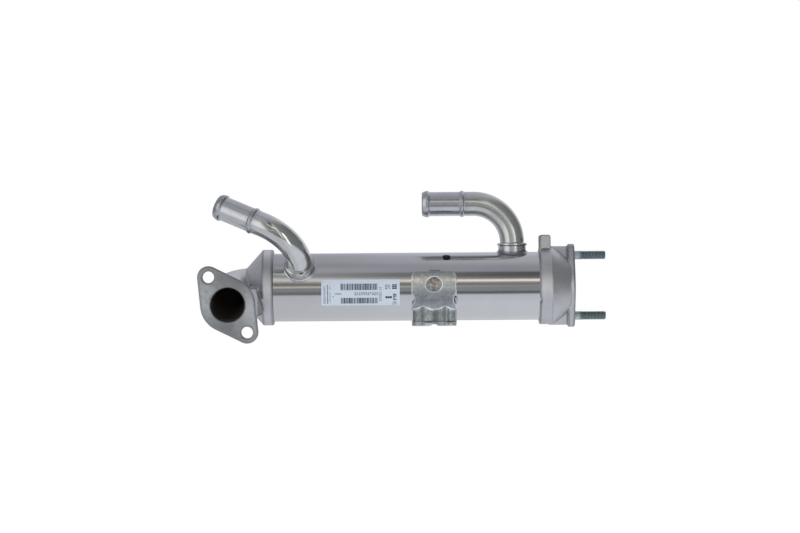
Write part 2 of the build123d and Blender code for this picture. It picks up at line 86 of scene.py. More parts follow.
class Value:
    """What a node puts out. Plain arithmetic on it adds nodes."""

    def __init__(self, steps, socket):
        self.steps = steps
        self.socket = socket

    def __add__(self, other):
        return self.steps.math("ADD", self, other)

    def __sub__(self, other):
        return self.steps.math("SUBTRACT", self, other)

    def __rsub__(self, other):
        return self.steps.math("SUBTRACT", other, self)

    def __mul__(self, other):
        return self.steps.math("MULTIPLY", self, other)

    def __truediv__(self, other):
        return self.steps.math("DIVIDE", self, other)

    def __neg__(self):
        return self * -1.0

    def __abs__(self):
        return self.steps.math("ABSOLUTE", self)

    def sine(self):
        return self.steps.math("SINE", self)

    def cosine(self):
        return self.steps.math("COSINE", self)


class Steps:
    """Adds nodes to a node tree and joins their sockets, so that a tree reads as a list of steps."""

    def __init__(self, tree):
        self.tree = tree

    def feed(self, socket, value):
        """Joins a socket to a node's value, or sets it."""
        if isinstance(value, Value):
            self.tree.links.new(value.socket, socket)
        else:
            socket.default_value = value

    def add(self, kind, inputs=None, **settings):
        """Adds one node, with its settings and inputs."""
        node = self.tree.nodes.new(kind)
        for name, value in settings.items():
            setattr(node, name, value)
        for name, value in (inputs or {}).items():
            self.feed(node.inputs[name], value)
        return node

    def make(self, kind, inputs=None, output=0, **settings):
        """What one new node puts out."""
        return Value(self, self.add(kind, inputs, **settings).outputs[output])

    def math(self, operation, first, second=0.0, clamp=False):
        """One step of arithmetic."""
        return self.make("ShaderNodeMath", {0: first, 1: second}, operation=operation, use_clamp=clamp)

    def distance(self, across, up):
        """Length of a line that goes so far across and so far up."""
        return self.math("SQRT", across * across + up * up)

    def angle(self, up, across):
        """Angle of a line that goes so far up and so far across."""
        return self.math("ARCTAN2", up, across)

    def larger(self, first, second):
        """The larger of two numbers."""
        return self.math("MAXIMUM", first, second)

    def span(self, value, low, high, start=0.0, end=1.0, kind="LINEAR"):
        """Goes from start to end while the value goes from low to high, and stays there outside."""
        inputs = {"Value": value, "From Min": low, "From Max": high, "To Min": start, "To Max": end}
        return self.make("ShaderNodeMapRange", inputs, interpolation_type=kind, clamp=True)

    def blend(self, share, start, end):
        """Goes from start to end while the share goes from 0 to 1."""
        return self.span(share, 0.0, 1.0, start, end)

    def fade(self, value, low, high, kind="LINEAR"):
        """Falls from 1 to 0 while the value goes from low to high."""
        return self.span(value, low, high, 1.0, 0.0, kind)

    def vector(self, x, y, z):
        """Three numbers as one vector."""
        return self.make("ShaderNodeCombineXYZ", {0: x, 1: y, 2: z})

    def apart(self, vector):
        """A vector's three numbers."""
        return [Value(self, number) for number in self.add("ShaderNodeSeparateXYZ", {0: vector}).outputs]

    def mix(self, share, first, second):
        """Blend of two colours."""
        return self.make("ShaderNodeMix", {0: share, 6: first, 7: second}, output=2, data_type="RGBA")

    def noise(self, place, scale, detail, roughness=0.5):
        """Cloudy noise."""
        inputs = {"Vector": place, "Scale": scale, "Detail": detail, "Roughness": roughness}
        return self.make("ShaderNodeTexNoise", inputs)

    def ramp(self, share, stops):
        """Colour at a share from 0 to 1 of the way along a list of stops (place, colour)."""
        node = self.add("ShaderNodeValToRGB", {0: share})
        elements = node.color_ramp.elements
        while len(elements) < len(stops):
            elements.new(0.5)
        for element, (position, colour) in zip(elements, stops):
            element.position = position
            element.color = (*colour, 1.0)
        return Value(self, node.outputs[0])


def new_group(name, kind, inputs, outputs):
    """Empty node group with named inputs (name, kind, value) and outputs (name, kind)."""
    tree = bpy.data.node_groups.new(name, kind)
    new_socket = tree.interface.new_socket
    for socket_name, socket_kind, value in inputs:
        socket = new_socket(socket_name, in_out="INPUT", socket_type=f"NodeSocket{socket_kind}")
        if value is not None:
            socket.default_value = value
    for socket_name, socket_kind in outputs:
        new_socket(socket_name, in_out="OUTPUT", socket_type=f"NodeSocket{socket_kind}")
    steps = Steps(tree)
    given = {socket.name: Value(steps, socket) for socket in steps.add("NodeGroupInput").outputs}
    return steps, given, steps.add("NodeGroupOutput").inputs


def shape_tree(name, build, values):
    """Geometry tree with a named input for each of the values, which a function adds the steps to."""
    kinds = {int: "Int", float: "Float"}
    inputs = [("Geometry", "Geometry", None)]
    inputs += [(value_name, kinds.get(type(value), "Material"), None) for value_name, value in values.items()]
    steps, given, result = new_group(name, "GeometryNodeTree", inputs, [("Geometry", "Geometry")])
    steps.tree.is_modifier = True
    real = steps.make("GeometryNodeRealizeInstances", {"Geometry": build(steps, given)})
    painted = steps.make("GeometryNodeSetMaterial", {"Geometry": real, "Material": given["Material"]})
    steps.feed(result["Geometry"], painted)
    return steps.tree


def new_object(name, data):
    """New object in the scene."""
    made = bpy.data.objects.new(name, data)
    bpy.context.scene.collection.objects.link(made)
    return made


def run_tree(name, tree, values):
    """New object whose mesh is what the tree makes from the named values."""
    piece = new_object(name, bpy.data.meshes.new(name))
    modifier = piece.modifiers.new("shape", "NODES")
    modifier.node_group = tree
    known = {item.name: item.identifier for item in tree.interface.items_tree if item.in_out == "INPUT"}
    for value_name, value in values.items():
        modifier[known[value_name]] = value
    return with_plain_mesh(piece)


def with_plain_mesh(piece):
    """Turns what the modifiers make into the piece's own mesh."""
    bpy.context.view_layer.update()
    graph = bpy.context.evaluated_depsgraph_get()
    mesh = bpy.data.meshes.new_from_object(piece.evaluated_get(graph))
    if not mesh.polygons:
        raise RuntimeError(f"{piece.name} has no faces")
    piece.modifiers.clear()
    piece.data = mesh
    mesh.name = piece.name
    return piece


def close_mesh(piece, recalculate=True):
    """Merges doubles, turns the faces outwards and shades the piece smooth up to its sharp edges."""
    edit = bmesh.new()
    edit.from_mesh(piece.data)
    bmesh.ops.remove_doubles(edit, verts=edit.verts, dist=SMALLEST_GAP)
    if recalculate:
        bmesh.ops.recalc_face_normals(edit, faces=edit.faces)
    edit.to_mesh(piece.data)
    edit.free()
    piece.data.shade_smooth()
    piece.data.set_sharp_from_angle(angle=SHARP_ANGLE)
    return piece


def finish_piece(piece, slot, *nodes):
    """Puts a finished piece under its body and hides the model's nodes that it stands in for."""
    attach(piece, BODY)
    if nodes:
        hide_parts(*nodes)


def give_material(piece, material):
    """The piece's only material."""
    piece.data.materials.clear()
    piece.data.materials.append(material)


def on_shell(x, front_angle, turn):
    """Matrix that moves a pipe, modelled upright over the origin, to its place on the shell."""
    lean = Matrix.Rotation(radians(90 - front_angle), 4, "X")
    return Matrix.Translation((x, 0, 0)) @ lean @ Matrix.Rotation(-radians(turn), 4, "Z")


def drawn_streaks(name):
    """Fine drawn lines that run along one direction, with slow cloudy smudges."""
    inputs = [("Vector", "Vector", None), ("Stretch", "Vector", None), ("Smudge Scale", "Float", 30.0)]
    outputs = [("Lines", "Float"), ("Smudge", "Float")]
    steps, given, result = new_group(name, "ShaderNodeTree", inputs, outputs)
    both = {0: given["Vector"], 1: given["Stretch"]}
    stretched = steps.make("ShaderNodeVectorMath", both, operation="MULTIPLY")
    smudge = steps.noise(given["Vector"], given["Smudge Scale"], 4.0, 0.6)
    steps.feed(result["Lines"], steps.noise(stretched, 1.0, 3.0, 0.65))
    steps.feed(result["Smudge"], steps.span(smudge, 0.3, 0.7))
    return steps.tree


def metal_grain(name):
    """Rough skin of a casting or a pickled plate: fine pits over slow patches."""
    inputs = [("Vector", "Vector", None), ("Grain Scale", "Float", 2500.0), ("Patch Scale", "Float", 120.0)]
    outputs = [("Grain", "Float"), ("Patches", "Float"), ("Height", "Float")]
    steps, given, result = new_group(name, "ShaderNodeTree", inputs, outputs)
    vector, scale = given["Vector"], given["Grain Scale"]
    grain = steps.noise(vector, scale, 3.0, 0.7)
    patches = steps.noise(vector, given["Patch Scale"], 5.0, 0.6)
    pits = steps.make("ShaderNodeTexVoronoi", {"Vector": vector, "Scale": scale})
    steps.feed(result["Grain"], steps.span(grain, 0.35, 0.65))
    steps.feed(result["Patches"], steps.span(patches, 0.3, 0.7))
    steps.feed(result["Height"], grain * 0.7 + pits * 0.3)
    return steps.tree


class Finish(Steps):
    """A material: its shader, its object coordinates and the steps that feed it."""

    def __init__(self, name, metallic=1.0):
        self.material = bpy.data.materials.new(name)
        self.material.use_nodes = True
        super().__init__(self.material.node_tree)
        self.tree.nodes.clear()
        self.shader = self.add("ShaderNodeBsdfPrincipled", {"Metallic": metallic})
        surface = Value(self, self.shader.outputs[0])
        self.add("ShaderNodeOutputMaterial", {"Surface": surface}).is_active_output = True
        self.place = self.make("ShaderNodeTexCoord", output="Object")

    def shared(self, build, inputs):
        """Places the shader group that a function makes, which is made only once."""
        group = bpy.data.node_groups.get(build.__name__) or build(build.__name__)
        node = self.add("ShaderNodeGroup", inputs, node_tree=group)
        return {socket.name: Value(self, socket) for socket in node.outputs}

    def skin(self, grain_scale, patch_scale):
        """Grain, patches and height of a rough skin."""
        inputs = {"Vector": self.place, "Grain Scale": grain_scale, "Patch Scale": patch_scale}
        return self.shared(metal_grain, inputs)

    def streaks(self, vector, stretch, smudge_scale):
        """Lines and smudges of a drawn tube."""
        inputs = {"Vector": vector, "Stretch": stretch, "Smudge Scale": smudge_scale}
        return self.shared(drawn_streaks, inputs)

    def shades(self, share, colour, low, high):
        """Goes from a darker to a paler shade of a colour."""
        return self.mix(share, lit(colour, low), lit(colour, high))

    def kept(self, name):
        """Number that the mesh keeps for each vertex."""
        return self.make("ShaderNodeAttribute", output="Fac", attribute_name=name)

    def bumped(self, height, distance, over=None):
        """Normal of a fine relief, over another one or over the plain surface."""
        inputs = {"Height": height, "Distance": distance}
        if over:
            inputs["Normal"] = over
        return self.make("ShaderNodeBump", inputs)

    def done(self, colour, roughness, normal=None):
        """Feeds the shader and gives the material."""
        self.feed(self.shader.inputs["Base Color"], colour)
        self.feed(self.shader.inputs["Roughness"], roughness)
        if normal:
            self.feed(self.shader.inputs["Normal"], normal)
        return self.material


def lit(colour, share=1.0):
    """The same colour with more or less light, as four numbers."""
    return (colour[0] * share, colour[1] * share, colour[2] * share, 1.0)


def polished_steel(settings):
    """The shell: bright drawn tube with lengthwise lines, one paint mark, a painted dark reflection line
    along it and painted shade behind the bracket's hole.
    """
    finish = Finish("polished_steel")
    streaks = finish.streaks(finish.place, (6.0, 2600.0, 2600.0), 28.0)
    lines = streaks["Lines"]
    steel = settings.steel_colour
    clean = finish.shades(streaks["Smudge"], steel, 0.93, 1.0)
    # Painted shade on the shell where it shows through the bracket's hole
    tint = heat_tint(finish, settings)
    patch = finish.span(finish.noise(finish.place, 520.0, 3.0), 0.4, 0.62)
    dull_steel = finish.shades(patch, settings.tint_colour, 0.62, 1.25)
    # Paints a dark reflection line along the shell, over the steel
    smeared = finish.mix(paint_smear(finish, settings), finish.mix(tint, clean, dull_steel), lit(steel, 0.2))
    mark = paint_mark(finish, settings)
    rough = finish.span(lines, 0.3, 0.7, settings.roughness, settings.roughness + 0.08)
    dull = finish.larger(mark, tint * 1.3)
    colour = finish.mix(mark, smeared, lit(settings.mark_colour))
    return finish.done(colour, dull * 0.3 + rough, finish.bumped(lines, settings.line_depth))


def heat_tint(finish, settings):
    """Mask of the dull patch of the shell behind the bracket's hole, where shade is painted."""
    x, y, z = finish.apart(finish.place)
    apart = finish.distance(x - HOLE_X, z - HOLE_Z)
    near = finish.fade(apart, settings.tint_radius, settings.tint_radius + 1.5 * MM)
    return near * finish.fade(y, -2.0 * MM, 0.0)


def along_and_round(finish):
    """Place along the shell and angle above its front."""
    x, y, z = finish.apart(finish.place)
    return x, finish.angle(z, -y)


def paint_mark(finish, settings):
    """Mask of the paint mark on the shell's upper front, between round and square."""
    x, angle = along_and_round(finish)
    across = abs(x - settings.mark_x) / settings.mark_radius
    around = abs(angle - settings.mark_angle) * SHELL_RADIUS / (settings.mark_height / 2)
    cubes = finish.math("POWER", across, 3.0) + finish.math("POWER", around, 3.0)
    return finish.fade(finish.noise(finish.place, 900.0, 2.0) * 0.5 + cubes, 1.1, 1.4)


def paint_smear(finish, settings):
    """Mask of the painted dark reflection line that runs along the shell on both sides of the paint mark."""
    x, angle = along_and_round(finish)
    off_middle = abs(angle - settings.smear_angle)
    across = finish.span(off_middle, radians(1), radians(6), 0.64, 0.0, "SMOOTHSTEP")
    from_left = finish.span(x, settings.smear_left, settings.smear_left + 14 * MM)
    return across * from_left * finish.fade(x, settings.smear_right - 6 * MM, settings.smear_right)


def pipe_steel(name, settings, bend_roughness, hose_roughness, dirt):
    """A pipe: bright tube with faint lines that follow it, slow dents, a duller hose end and dirty beads."""
    finish = Finish(name)
    along = finish.make("ShaderNodeUVMap", uv_map="pipe_map")
    streaks = finish.streaks(along, (60.0, 1800.0, 1.0), 60.0)
    distance = finish.apart(along)[0]
    on_hose_end = finish.span(distance, settings.hose_start - 4 * MM, settings.hose_start + 1 * MM)
    clean = finish.mix(on_hose_end, lit(settings.bend_colour), lit(settings.steel_colour))
    bright = finish.mix(streaks["Smudge"] * 0.14, clean, BLACK)
    tip = PIPE_BEND_HEIGHT + settings.bend_radius * pi / 2 + settings.hose_length
    at_bead = finish.fade(abs(distance - (tip - settings.stop_from_tip)), 1.2 * MM, 4.5 * MM)
    at_tip = finish.span(distance, tip - 7.0 * MM, tip - 5.5 * MM)
    uneven = finish.span(finish.noise(finish.place, 700.0, 4.0, 0.7), 0.38, 0.6, 0.35, 1.0)
    dirty = finish.larger(at_bead, at_tip) * uneven * dirt
    scratched = finish.span(streaks["Lines"], 0.42, 0.66, 0.0, 0.6 * dirt)
    worn = finish.larger(dirty, on_hose_end * scratched)
    colour = finish.mix(worn, bright, lit(settings.steel_colour, 0.4))
    rough = finish.blend(on_hose_end, bend_roughness, hose_roughness)
    wavy = finish.bumped(finish.noise(finish.place, 170.0, 2.0), settings.dent_depth)
    lined = finish.bumped(streaks["Lines"], settings.line_depth, wavy)
    return finish.done(colour, rough + dirty * 0.15 + streaks["Smudge"] * 0.07, lined)


def ferrule_steel(settings):
    """The ferrules under the pipes: turned, then brazed to the shell, with a painted contact shadow at the
    foot and painted shade under the bead.
    """
    finish = Finish("ferrule_steel")
    skin = finish.skin(1500.0, 260.0)
    steel = settings.steel_colour
    turned = finish.shades(skin["Patches"], steel, 0.86, 1.0)
    y, z = finish.apart(finish.place)[1:]
    above_shell = finish.distance(y, z) - SHELL_RADIUS
    # Painted contact shadow where the ferrule meets the shell
    at_foot = finish.span(above_shell, 1.2 * MM, 2.6 * MM, 0.6, 0.0, "SMOOTHSTEP")
    upright = finish.span(z, SHELL_RADIUS - 5.0 * MM, SHELL_RADIUS - 3.0 * MM)
    # Painted shade under the pipe's seat bead
    under_bead = finish.span(z, settings.seat_place - 1.3 * MM, settings.seat_place - 0.9 * MM, 0.0, 0.8)
    stained = finish.larger(at_foot * upright, under_bead)
    rough = finish.blend(skin["Patches"], settings.roughness, settings.roughness + 0.1)
    colour = finish.mix(stained, turned, lit(steel, 0.1))
    return finish.done(colour, stained * 0.2 + rough, finish.bumped(skin["Height"], 0.01 * MM))


def cast_steel(name, settings, face, bore, corner_dirt):
    """A casting: matte blasted skin scaled by a tone kept for each vertex, painted shade in its corners and
    on its inside, and a turned face (axis, place, side) round its bore with a painted bow-tie reflection.
    """
    finish = Finish(name)
    axis, face_place, side = face
    skin = finish.skin(1700.0, 110.0)
    colour, machined_colour = settings.cast_colour, settings.machined_colour
    cast = finish.shades(skin["Patches"], colour, 0.9, 1.05)
    grained = finish.mix(skin["Grain"] * 0.35, cast, lit(colour, 0.72))
    # The kept tone scales the skin: painted light on the inlet's gusset, a darker lug and flange top on the
    # outlet
    toned = finish.make("ShaderNodeVectorMath", {0: grained, "Scale": finish.kept("tone")}, operation="SCALE")
    edge = finish.kept("edge")
    # Painted shade in the casting's inner corners
    dirty = finish.mix(finish.span(edge, -0.1, -0.5, 0.0, corner_dirt), toned, lit(colour, 0.4))
    place = finish.apart(finish.place)
    machined = finish.span((place[axis] - face_place) * side, -0.35 * MM, -0.15 * MM)
    across, up = place[1 - axis] - bore[0], place[2] - bore[1]
    # Painted bow-tie reflection on the turned face: paler and darker sectors round the bore
    sweep = (finish.angle(up, across) * 2.0 + radians(20)).cosine() * 0.5 + 0.5
    sector = finish.span(skin["Patches"] * 0.35 + sweep, 0.1, 1.15)
    milled = finish.shades(sector, machined_colour, 0.52, 1.1)
    stained = finish.span(finish.noise(finish.place, 300.0, 5.0, 0.75), 0.5, 0.66, 0.0, 0.6)
    milled = finish.mix(stained, milled, lit(machined_colour, 0.45))
    rounded = finish.span(edge, 0.15, 0.6, 0.0, settings.edge_shade)
    outlined = finish.mix(rounded, finish.mix(machined, dirty, milled), lit(colour, 0.42))
    # Painted shade on the casting's inside surfaces, round its gas way
    soot = finish.kept("soot")
    sooty = finish.mix(soot, outlined, lit(settings.soot_colour))
    rough = finish.blend(machined, settings.roughness, settings.machined_roughness)
    rings = (finish.distance(across, up) * (FULL_TURN / settings.ring_pitch)).sine()
    grain = skin["Height"] * finish.blend(machined, 1.0, 0.15)
    relief = finish.bumped(rings * machined * 0.12 + grain, settings.grain_depth)
    return finish.done(sooty, rough + skin["Grain"] * 0.08 + soot * 0.3, relief)


# Painted reflection bands on the bracket's plate, paler and darker by height: height in mm, share of light,
# and warmth of the reflected light
PLATE_BANDS = (
    (-28.0, 0.68, 0.0), (-24.5, 0.66, 0.0), (-20.0, 0.62, 0.0), (-17.5, 0.62, 0.0), (-15.5, 0.78, 0.0),
    (-11.5, 0.68, 0.0), (-9.4, 0.56, 0.0), (-7.2, 0.76, 0.0), (-5.0, 1.12, 0.0), (-3.0, 1.28, 0.0),
    (-1.0, 1.42, 0.1), (2.5, 1.48, 0.6), (4.7, 1.45, 1.0), (6.8, 1.08, 1.0), (9.0, 1.08, 0.3),
    (11.0, 0.72, 0.0), (13.0, 1.05, 0.0), (20.0, 1.0, 0.0),
)
PLATE_LOW = PLATE_BANDS[0][0] * MM
PLATE_HIGH = PLATE_BANDS[-1][0] * MM
COOL_PLATE = Vector((0.97, 1.0, 1.02))
WARM_PLATE = Vector((1.04, 1.0, 0.93))


def bracket_steel(settings):
    """The bracket: pickled plate with painted reflection bands by height, painted highlights on its edges,
    along its crease and on the chamfer round its hole, and painted shade in its inner corners.
    """
    finish = Finish("bracket_steel")
    skin = finish.skin(1300.0, 170.0)
    colour, skirt_top = settings.plate_colour, settings.skirt_top
    mottled = finish.shades(skin["Patches"], colour, 0.72, 1.1)
    speckled = finish.mix(skin["Grain"] * 0.25, mottled, lit(colour, 0.7))
    x, _, z = finish.apart(finish.place)
    stops = [
        ((height * MM - PLATE_LOW) / (PLATE_HIGH - PLATE_LOW), share * COOL_PLATE.lerp(WARM_PLATE, reflection_warmth))
        for height, share, reflection_warmth in PLATE_BANDS
    ]
    # Painted reflections on the plate, in bands by height
    bands = finish.ramp(finish.span(z, PLATE_LOW, PLATE_HIGH), stops)
    banded = finish.make("ShaderNodeVectorMath", {0: speckled, 1: bands}, operation="MULTIPLY")
    # Painted highlight on the chamfer round the hole
    from_ring = abs(finish.distance(x - HOLE_X, z - HOLE_Z) - settings.ring_radius)
    ringed = finish.mix(finish.span(from_ring, 0.3 * MM, 0.55 * MM, 0.8, 0.0), banded, lit(colour, 1.8))
    edge = finish.kept("edge")
    # Painted highlight on the plate's rounded edges, fading towards the top
    wear = finish.span(z, 8 * MM, 11 * MM, settings.edge_wear, 0.1)
    rubbed = finish.mix(finish.math("MULTIPLY", edge, wear, clamp=True), ringed, lit(colour, 1.7))
    # Painted shade in the plate's inner corners, turned into a painted highlight along the crease above the
    # skirt
    hollow = finish.math("MULTIPLY", edge, -settings.corner_strength, clamp=True)
    under_crease = finish.fade(z, skirt_top + 2.0 * MM, skirt_top + 3.0 * MM)
    at_crease = under_crease * finish.span(z, skirt_top - 3.0 * MM, skirt_top - 2.0 * MM)
    in_corner = finish.shades(at_crease, colour, 0.35, 1.8)
    rough = finish.blend(skin["Patches"], settings.roughness + 0.1, settings.roughness - 0.05)
    relief = finish.bumped(skin["Height"], settings.relief)
    return finish.done(finish.mix(hollow, rubbed, in_corner), rough, relief)


def plated_stud(settings):
    """The studs: dark blue-green plating, paler on the plain shank, rubbed on the thread's crests."""
    finish = Finish("plated_stud")
    skin = finish.skin(2200.0, 420.0)
    x, y, z = finish.apart(finish.place)
    radius = finish.distance(y, abs(z) - STUD_OFFSET)
    plated = finish.shades(skin["Patches"], settings.plating_colour, 0.75, 1.1)
    crest = finish.span(radius, STUD_RADIUS - 0.12 * MM, STUD_RADIUS, 0.0, 0.35)
    shank_colour = lit(settings.shank_colour)
    rubbed = finish.mix(crest, plated, shank_colour)
    greener = finish.mix(finish.span(z, 0.0, 1.0 * MM, 0.5, 0.0), rubbed, lit(settings.lower_colour))
    shank = finish.fade(x, settings.thread_start - 1.6 * MM, settings.thread_start)
    rough = finish.blend(skin["Grain"], settings.roughness, settings.roughness + 0.15)
    relief = finish.bumped(skin["Height"], 0.008 * MM)
    return finish.done(finish.mix(shank, greener, shank_colour), rough, relief)


def mottled_finish(name, metallic, scales, colours, roughness, depth=None):
    """Plain finish: patches between two colours, grain between two roughnesses, and its relief."""
    finish = Finish(name, metallic)
    skin = finish.skin(*scales)
    relief = finish.bumped(skin["Height"], depth) if depth else None
    rough = finish.blend(skin["Grain"], *roughness)
    return finish.done(finish.mix(skin["Patches"], *colours), rough, relief)


def Colour(name, description, default):
    """Colour that a user can change."""
    return FloatVectorProperty(
        name=name, description=description, default=default, subtype="COLOR", size=3, min=0.0, max=1.0
    )


def Length(name, description, millimetres):
    """Length that a user can change."""
    default = millimetres * MM
    return FloatProperty(name=name, description=description, default=default, unit="LENGTH", precision=5)


def Share(name, description, default):
    """Number from 0 to 1 that a user can change."""
    limits = {"min": 0.0, "max": 1.0, "subtype": "FACTOR"}
    return FloatProperty(name=name, description=description, default=default, **limits)


def Angle(name, description, degrees):
    """Angle that a user can change."""
    return FloatProperty(name=name, description=description, default=radians(degrees), subtype="ANGLE")


def Amount(name, description, default, unit="NONE"):
    """Number from 0 up that a user can change."""
    return FloatProperty(name=name, description=description, default=default, min=0.0, unit=unit)


class CoolerShellSettings(bpy.types.PropertyGroup):
    """Sizes and finish of the shell."""

    wall: Length("Wall", "Thickness of the shell's wall", 1.2)
    opening: Length("Opening Radius", "Radius of the opening under each pipe", 7.3)
    segments: IntProperty(name="Segments", description="Faces round the shell", default=288, min=32)
    steel_colour: Colour("Steel", "Colour of the polished steel", (0.60, 0.60, 0.61))
    roughness: Share("Roughness", "Roughness of the polished steel", 0.09)
    line_depth: Length("Line Depth", "Depth of the drawn lines", 0.006)
    mark_colour: Colour("Paint Mark", "Colour of the paint mark", (0.012, 0.012, 0.014))
    mark_x: Length("Mark Place", "Place of the paint mark along the shell", -90.3)
    mark_radius: Length("Mark Radius", "Half the paint mark's width", 2.8)
    mark_height: Length("Mark Height", "Height of the paint mark round the shell", 7.0)
    mark_angle: Angle("Mark Angle", "Angle of the paint mark above the front", 58.5)
    # Place of the painted dark reflection line along the shell
    smear_angle: Angle("Smear Angle", "Angle of the painted reflection line above the front", 60)
    smear_left: Length("Reflection Line Start", "Left end of the painted reflection line", -114.0)
    smear_right: Length("Reflection Line End", "Right end of the painted reflection line", -50.0)
    # Colour and size of the painted shade behind the bracket's hole
    tint_colour: Colour("Heat Tint", "Colour of the patch behind the bracket's hole", (0.56, 0.52, 0.48))
    tint_radius: Length("Tint Radius", "Radius of the shaded patch", 6.0)


class CoolerPipeSettings(bpy.types.PropertyGroup):
    """Sizes and finish of both coolant pipes."""

    radius: Length("Radius", "Outer radius of the tube", 8.5)
    wall: Length("Wall", "Thickness of the tube's wall", 1.2)
    bend_radius: Length("Bend Radius", "Radius of the bend's centre line", 27.2)
    hose_length: Length("Hose End", "Straight length from the bend to the tip", 36.3)
    seat_radius: Length("Seat Bead Radius", "Radius of the bead on the ferrule", 10.5)
    seat_place: Length("Seat Bead Place", "Height of the bead's middle above the shell's axis", 29.2)
    stop_radius: Length("Stop Bead Radius", "Radius of the bead that stops the hose", 9.3)
    stop_from_tip: Length("Stop Bead Place", "Distance of the stop bead from the tip", 28.2)
    barb_radius: Length("Barb Radius", "Largest radius of the tip's barb", 9.4)
    tip_radius: Length("Tip Radius", "Radius of the tip's end", 8.0)
    steel_colour: Colour("Steel", "Colour of the pipes' steel", (0.60, 0.61, 0.635))
    bend_colour: Colour("Bend Steel", "Colour of the bends' steel", (0.615, 0.62, 0.608))
    roughness: Share("Roughness", "Roughness of the right pipe", 0.19)
    left_roughness: Share("Left Roughness", "Roughness of the left pipe's bend", 0.07)
    hose_roughness: Share("Hose Roughness", "Roughness of the left pipe's hose end", 0.13)
    hose_start: Length("Hose Start", "Distance along the pipe at which the hose end starts", 78.0)
    left_dirt: Share("Left Dirt", "Dirt at the left pipe's beads and tip", 0.6)
    right_dirt: Share("Right Dirt", "Dirt at the right pipe's beads and tip", 0.2)
    dent_depth: Length("Dent Depth", "Depth of the slow dents", 0.08)
    line_depth: Length("Line Depth", "Depth of the drawn lines", 0.006)


class CoolerCastingSettings(bpy.types.PropertyGroup):
    """Finish of the two castings."""

    inlet_edge_size: Length("Inlet Edge Size", "Size of the rounding on the inlet's edges", 0.55)
    outlet_edge_size: Length("Outlet Edge Size", "Size of the rounding on the outlet's edges", 0.42)
    skin_depth: Length("Skin Unevenness", "Height of the slow waves in the cast skin", 0.05)
    grain_depth: Length("Grain Depth", "Depth of the blasted grain", 0.05)
    edge_shade: Share("Edge Shade", "How dark the rounded edges are", 0.7)
    # How dark the painted shade in each casting's inner corners is
    inlet_dirt: Share("Inlet Dirt", "How dark the inlet's corners are", 0.35)
    outlet_dirt: Share("Outlet Dirt", "How dark the outlet's corners are", 0.9)
    ring_pitch: Length("Ring Pitch", "Distance between the turned rings", 0.4)
    cast_colour: Colour("Casting", "Colour of the blasted casting", (0.60, 0.60, 0.62))
    machined_colour: Colour("Machined", "Colour of the machined faces", (0.385, 0.405, 0.425))
    # Colour of the painted shade inside the castings
    soot_colour: Colour("Soot", "Colour of the sooty inside", (0.12, 0.11, 0.10))
    roughness: Share("Roughness", "Roughness of the cast skin", 0.44)
    machined_roughness: Share("Machined Roughness", "Roughness of the machined faces", 0.42)


class CoolerBracketSettings(bpy.types.PropertyGroup):
    """Finish of the saddle bracket."""

    edge_size: Length("Edge Size", "Size of the rounding on pressed edges", 0.32)
    skin_depth: Length("Skin Unevenness", "Height of the slow dents in the plate", 0.09)
    relief: Length("Relief", "Depth of the pickled surface", 0.022)
    # How pale the painted highlight on the bracket's edges is
    edge_wear: Amount("Edge Wear", "How pale the edges are rubbed", 0.75)
    # Strength of the painted shade in the bracket's inner corners
    corner_strength: Amount("Corner Strength", "How clearly the inner corners show", 2.4)
    ring_radius: Length("Ring Radius", "Middle radius of the hole's chamfer", 5.3)
    skirt_top: Length("Skirt Top", "Height at which the skirt starts", -15.0)
    plate_colour: Colour("Plate", "Colour of the pickled plate", (0.50, 0.52, 0.53))
    roughness: Share("Roughness", "Roughness of the plate", 0.27)


class CoolerStudSettings(bpy.types.PropertyGroup):
    """Thread and finish of the two studs."""

    pitch: Length("Pitch", "Thread pitch", 1.0)
    depth: Length("Depth", "Thread depth", 0.42)
    thread_start: Length("Thread Start", "Where the thread starts beyond the flange", 4.2)
    tip_round: Length("Tip Round", "Rounding of the tip", 1.1)
    seat_step: Length("Seat Step", "How much thinner the seat in the casting is", 0.3)
    plating_colour: Colour("Plating", "Colour of the plated thread", (0.21, 0.27, 0.32))
    lower_colour: Colour("Lower Stud", "Tint of the lower stud", (0.26, 0.32, 0.27))
    shank_colour: Colour("Shank", "Colour of the plain shank", (0.52, 0.60, 0.62))
    roughness: Share("Roughness", "Roughness of the plating", 0.35)


class CoolerLabelSettings(bpy.types.PropertyGroup):
    """Paper and print of the label."""

    thickness: Length("Thickness", "Thickness of the paper", 0.15)
    ink_thickness: Length("Ink Thickness", "Thickness of the ink", 0.02)
    paper_colour: Colour("Paper", "Colour of the paper", (0.62, 0.68, 0.77))
    ink_colour: Colour("Ink", "Colour of the dark print", (0.03, 0.05, 0.09))
    pale_ink_colour: Colour("Pale Ink", "Colour of the small print", (0.20, 0.25, 0.34))
    seed: IntProperty(name="Seed", description="Seed of the print's random widths", default=7, min=0)


class CoolerStageSettings(bpy.types.PropertyGroup):
    """Floor, light and camera."""

    floor_height: Length("Floor Height", "Height of the floor", -160)
    floor_size: Length("Floor Size", "Width of the floor", 7000)
    floor_colour: Colour("Floor", "Colour of the floor", (0.9, 0.9, 0.9))
    camera_x: Length("Camera X", "Place of the camera along the shell", -123.0)
    camera_z: Length("Camera Z", "Height of the camera", 14.2)
    camera_distance: Length("Camera Distance", "Distance of the camera from the shell's axis", 2200)
    camera_lens: Amount("Lens", "Focal length in millimetres", 140.2, "CAMERA")
    camera_roll: Angle("Camera Roll", "Roll about the line of sight", 0.43)
    world_strength: Amount("Surroundings", "Light from the surroundings", 1.0)
    front_power: Amount("Front Light", "Power of the front light", 9.0, "POWER")
    matte_power: Amount("Castings' Front Light", "Power of the castings' front light", 2.2, "POWER")
    matte_top_power: Amount("Castings' Top Light", "Power of the castings' top light", 1.4, "POWER")


def ends(low, high):
    """Left and right end of a box."""
    return {"Left": low.x, "Right": high.x}


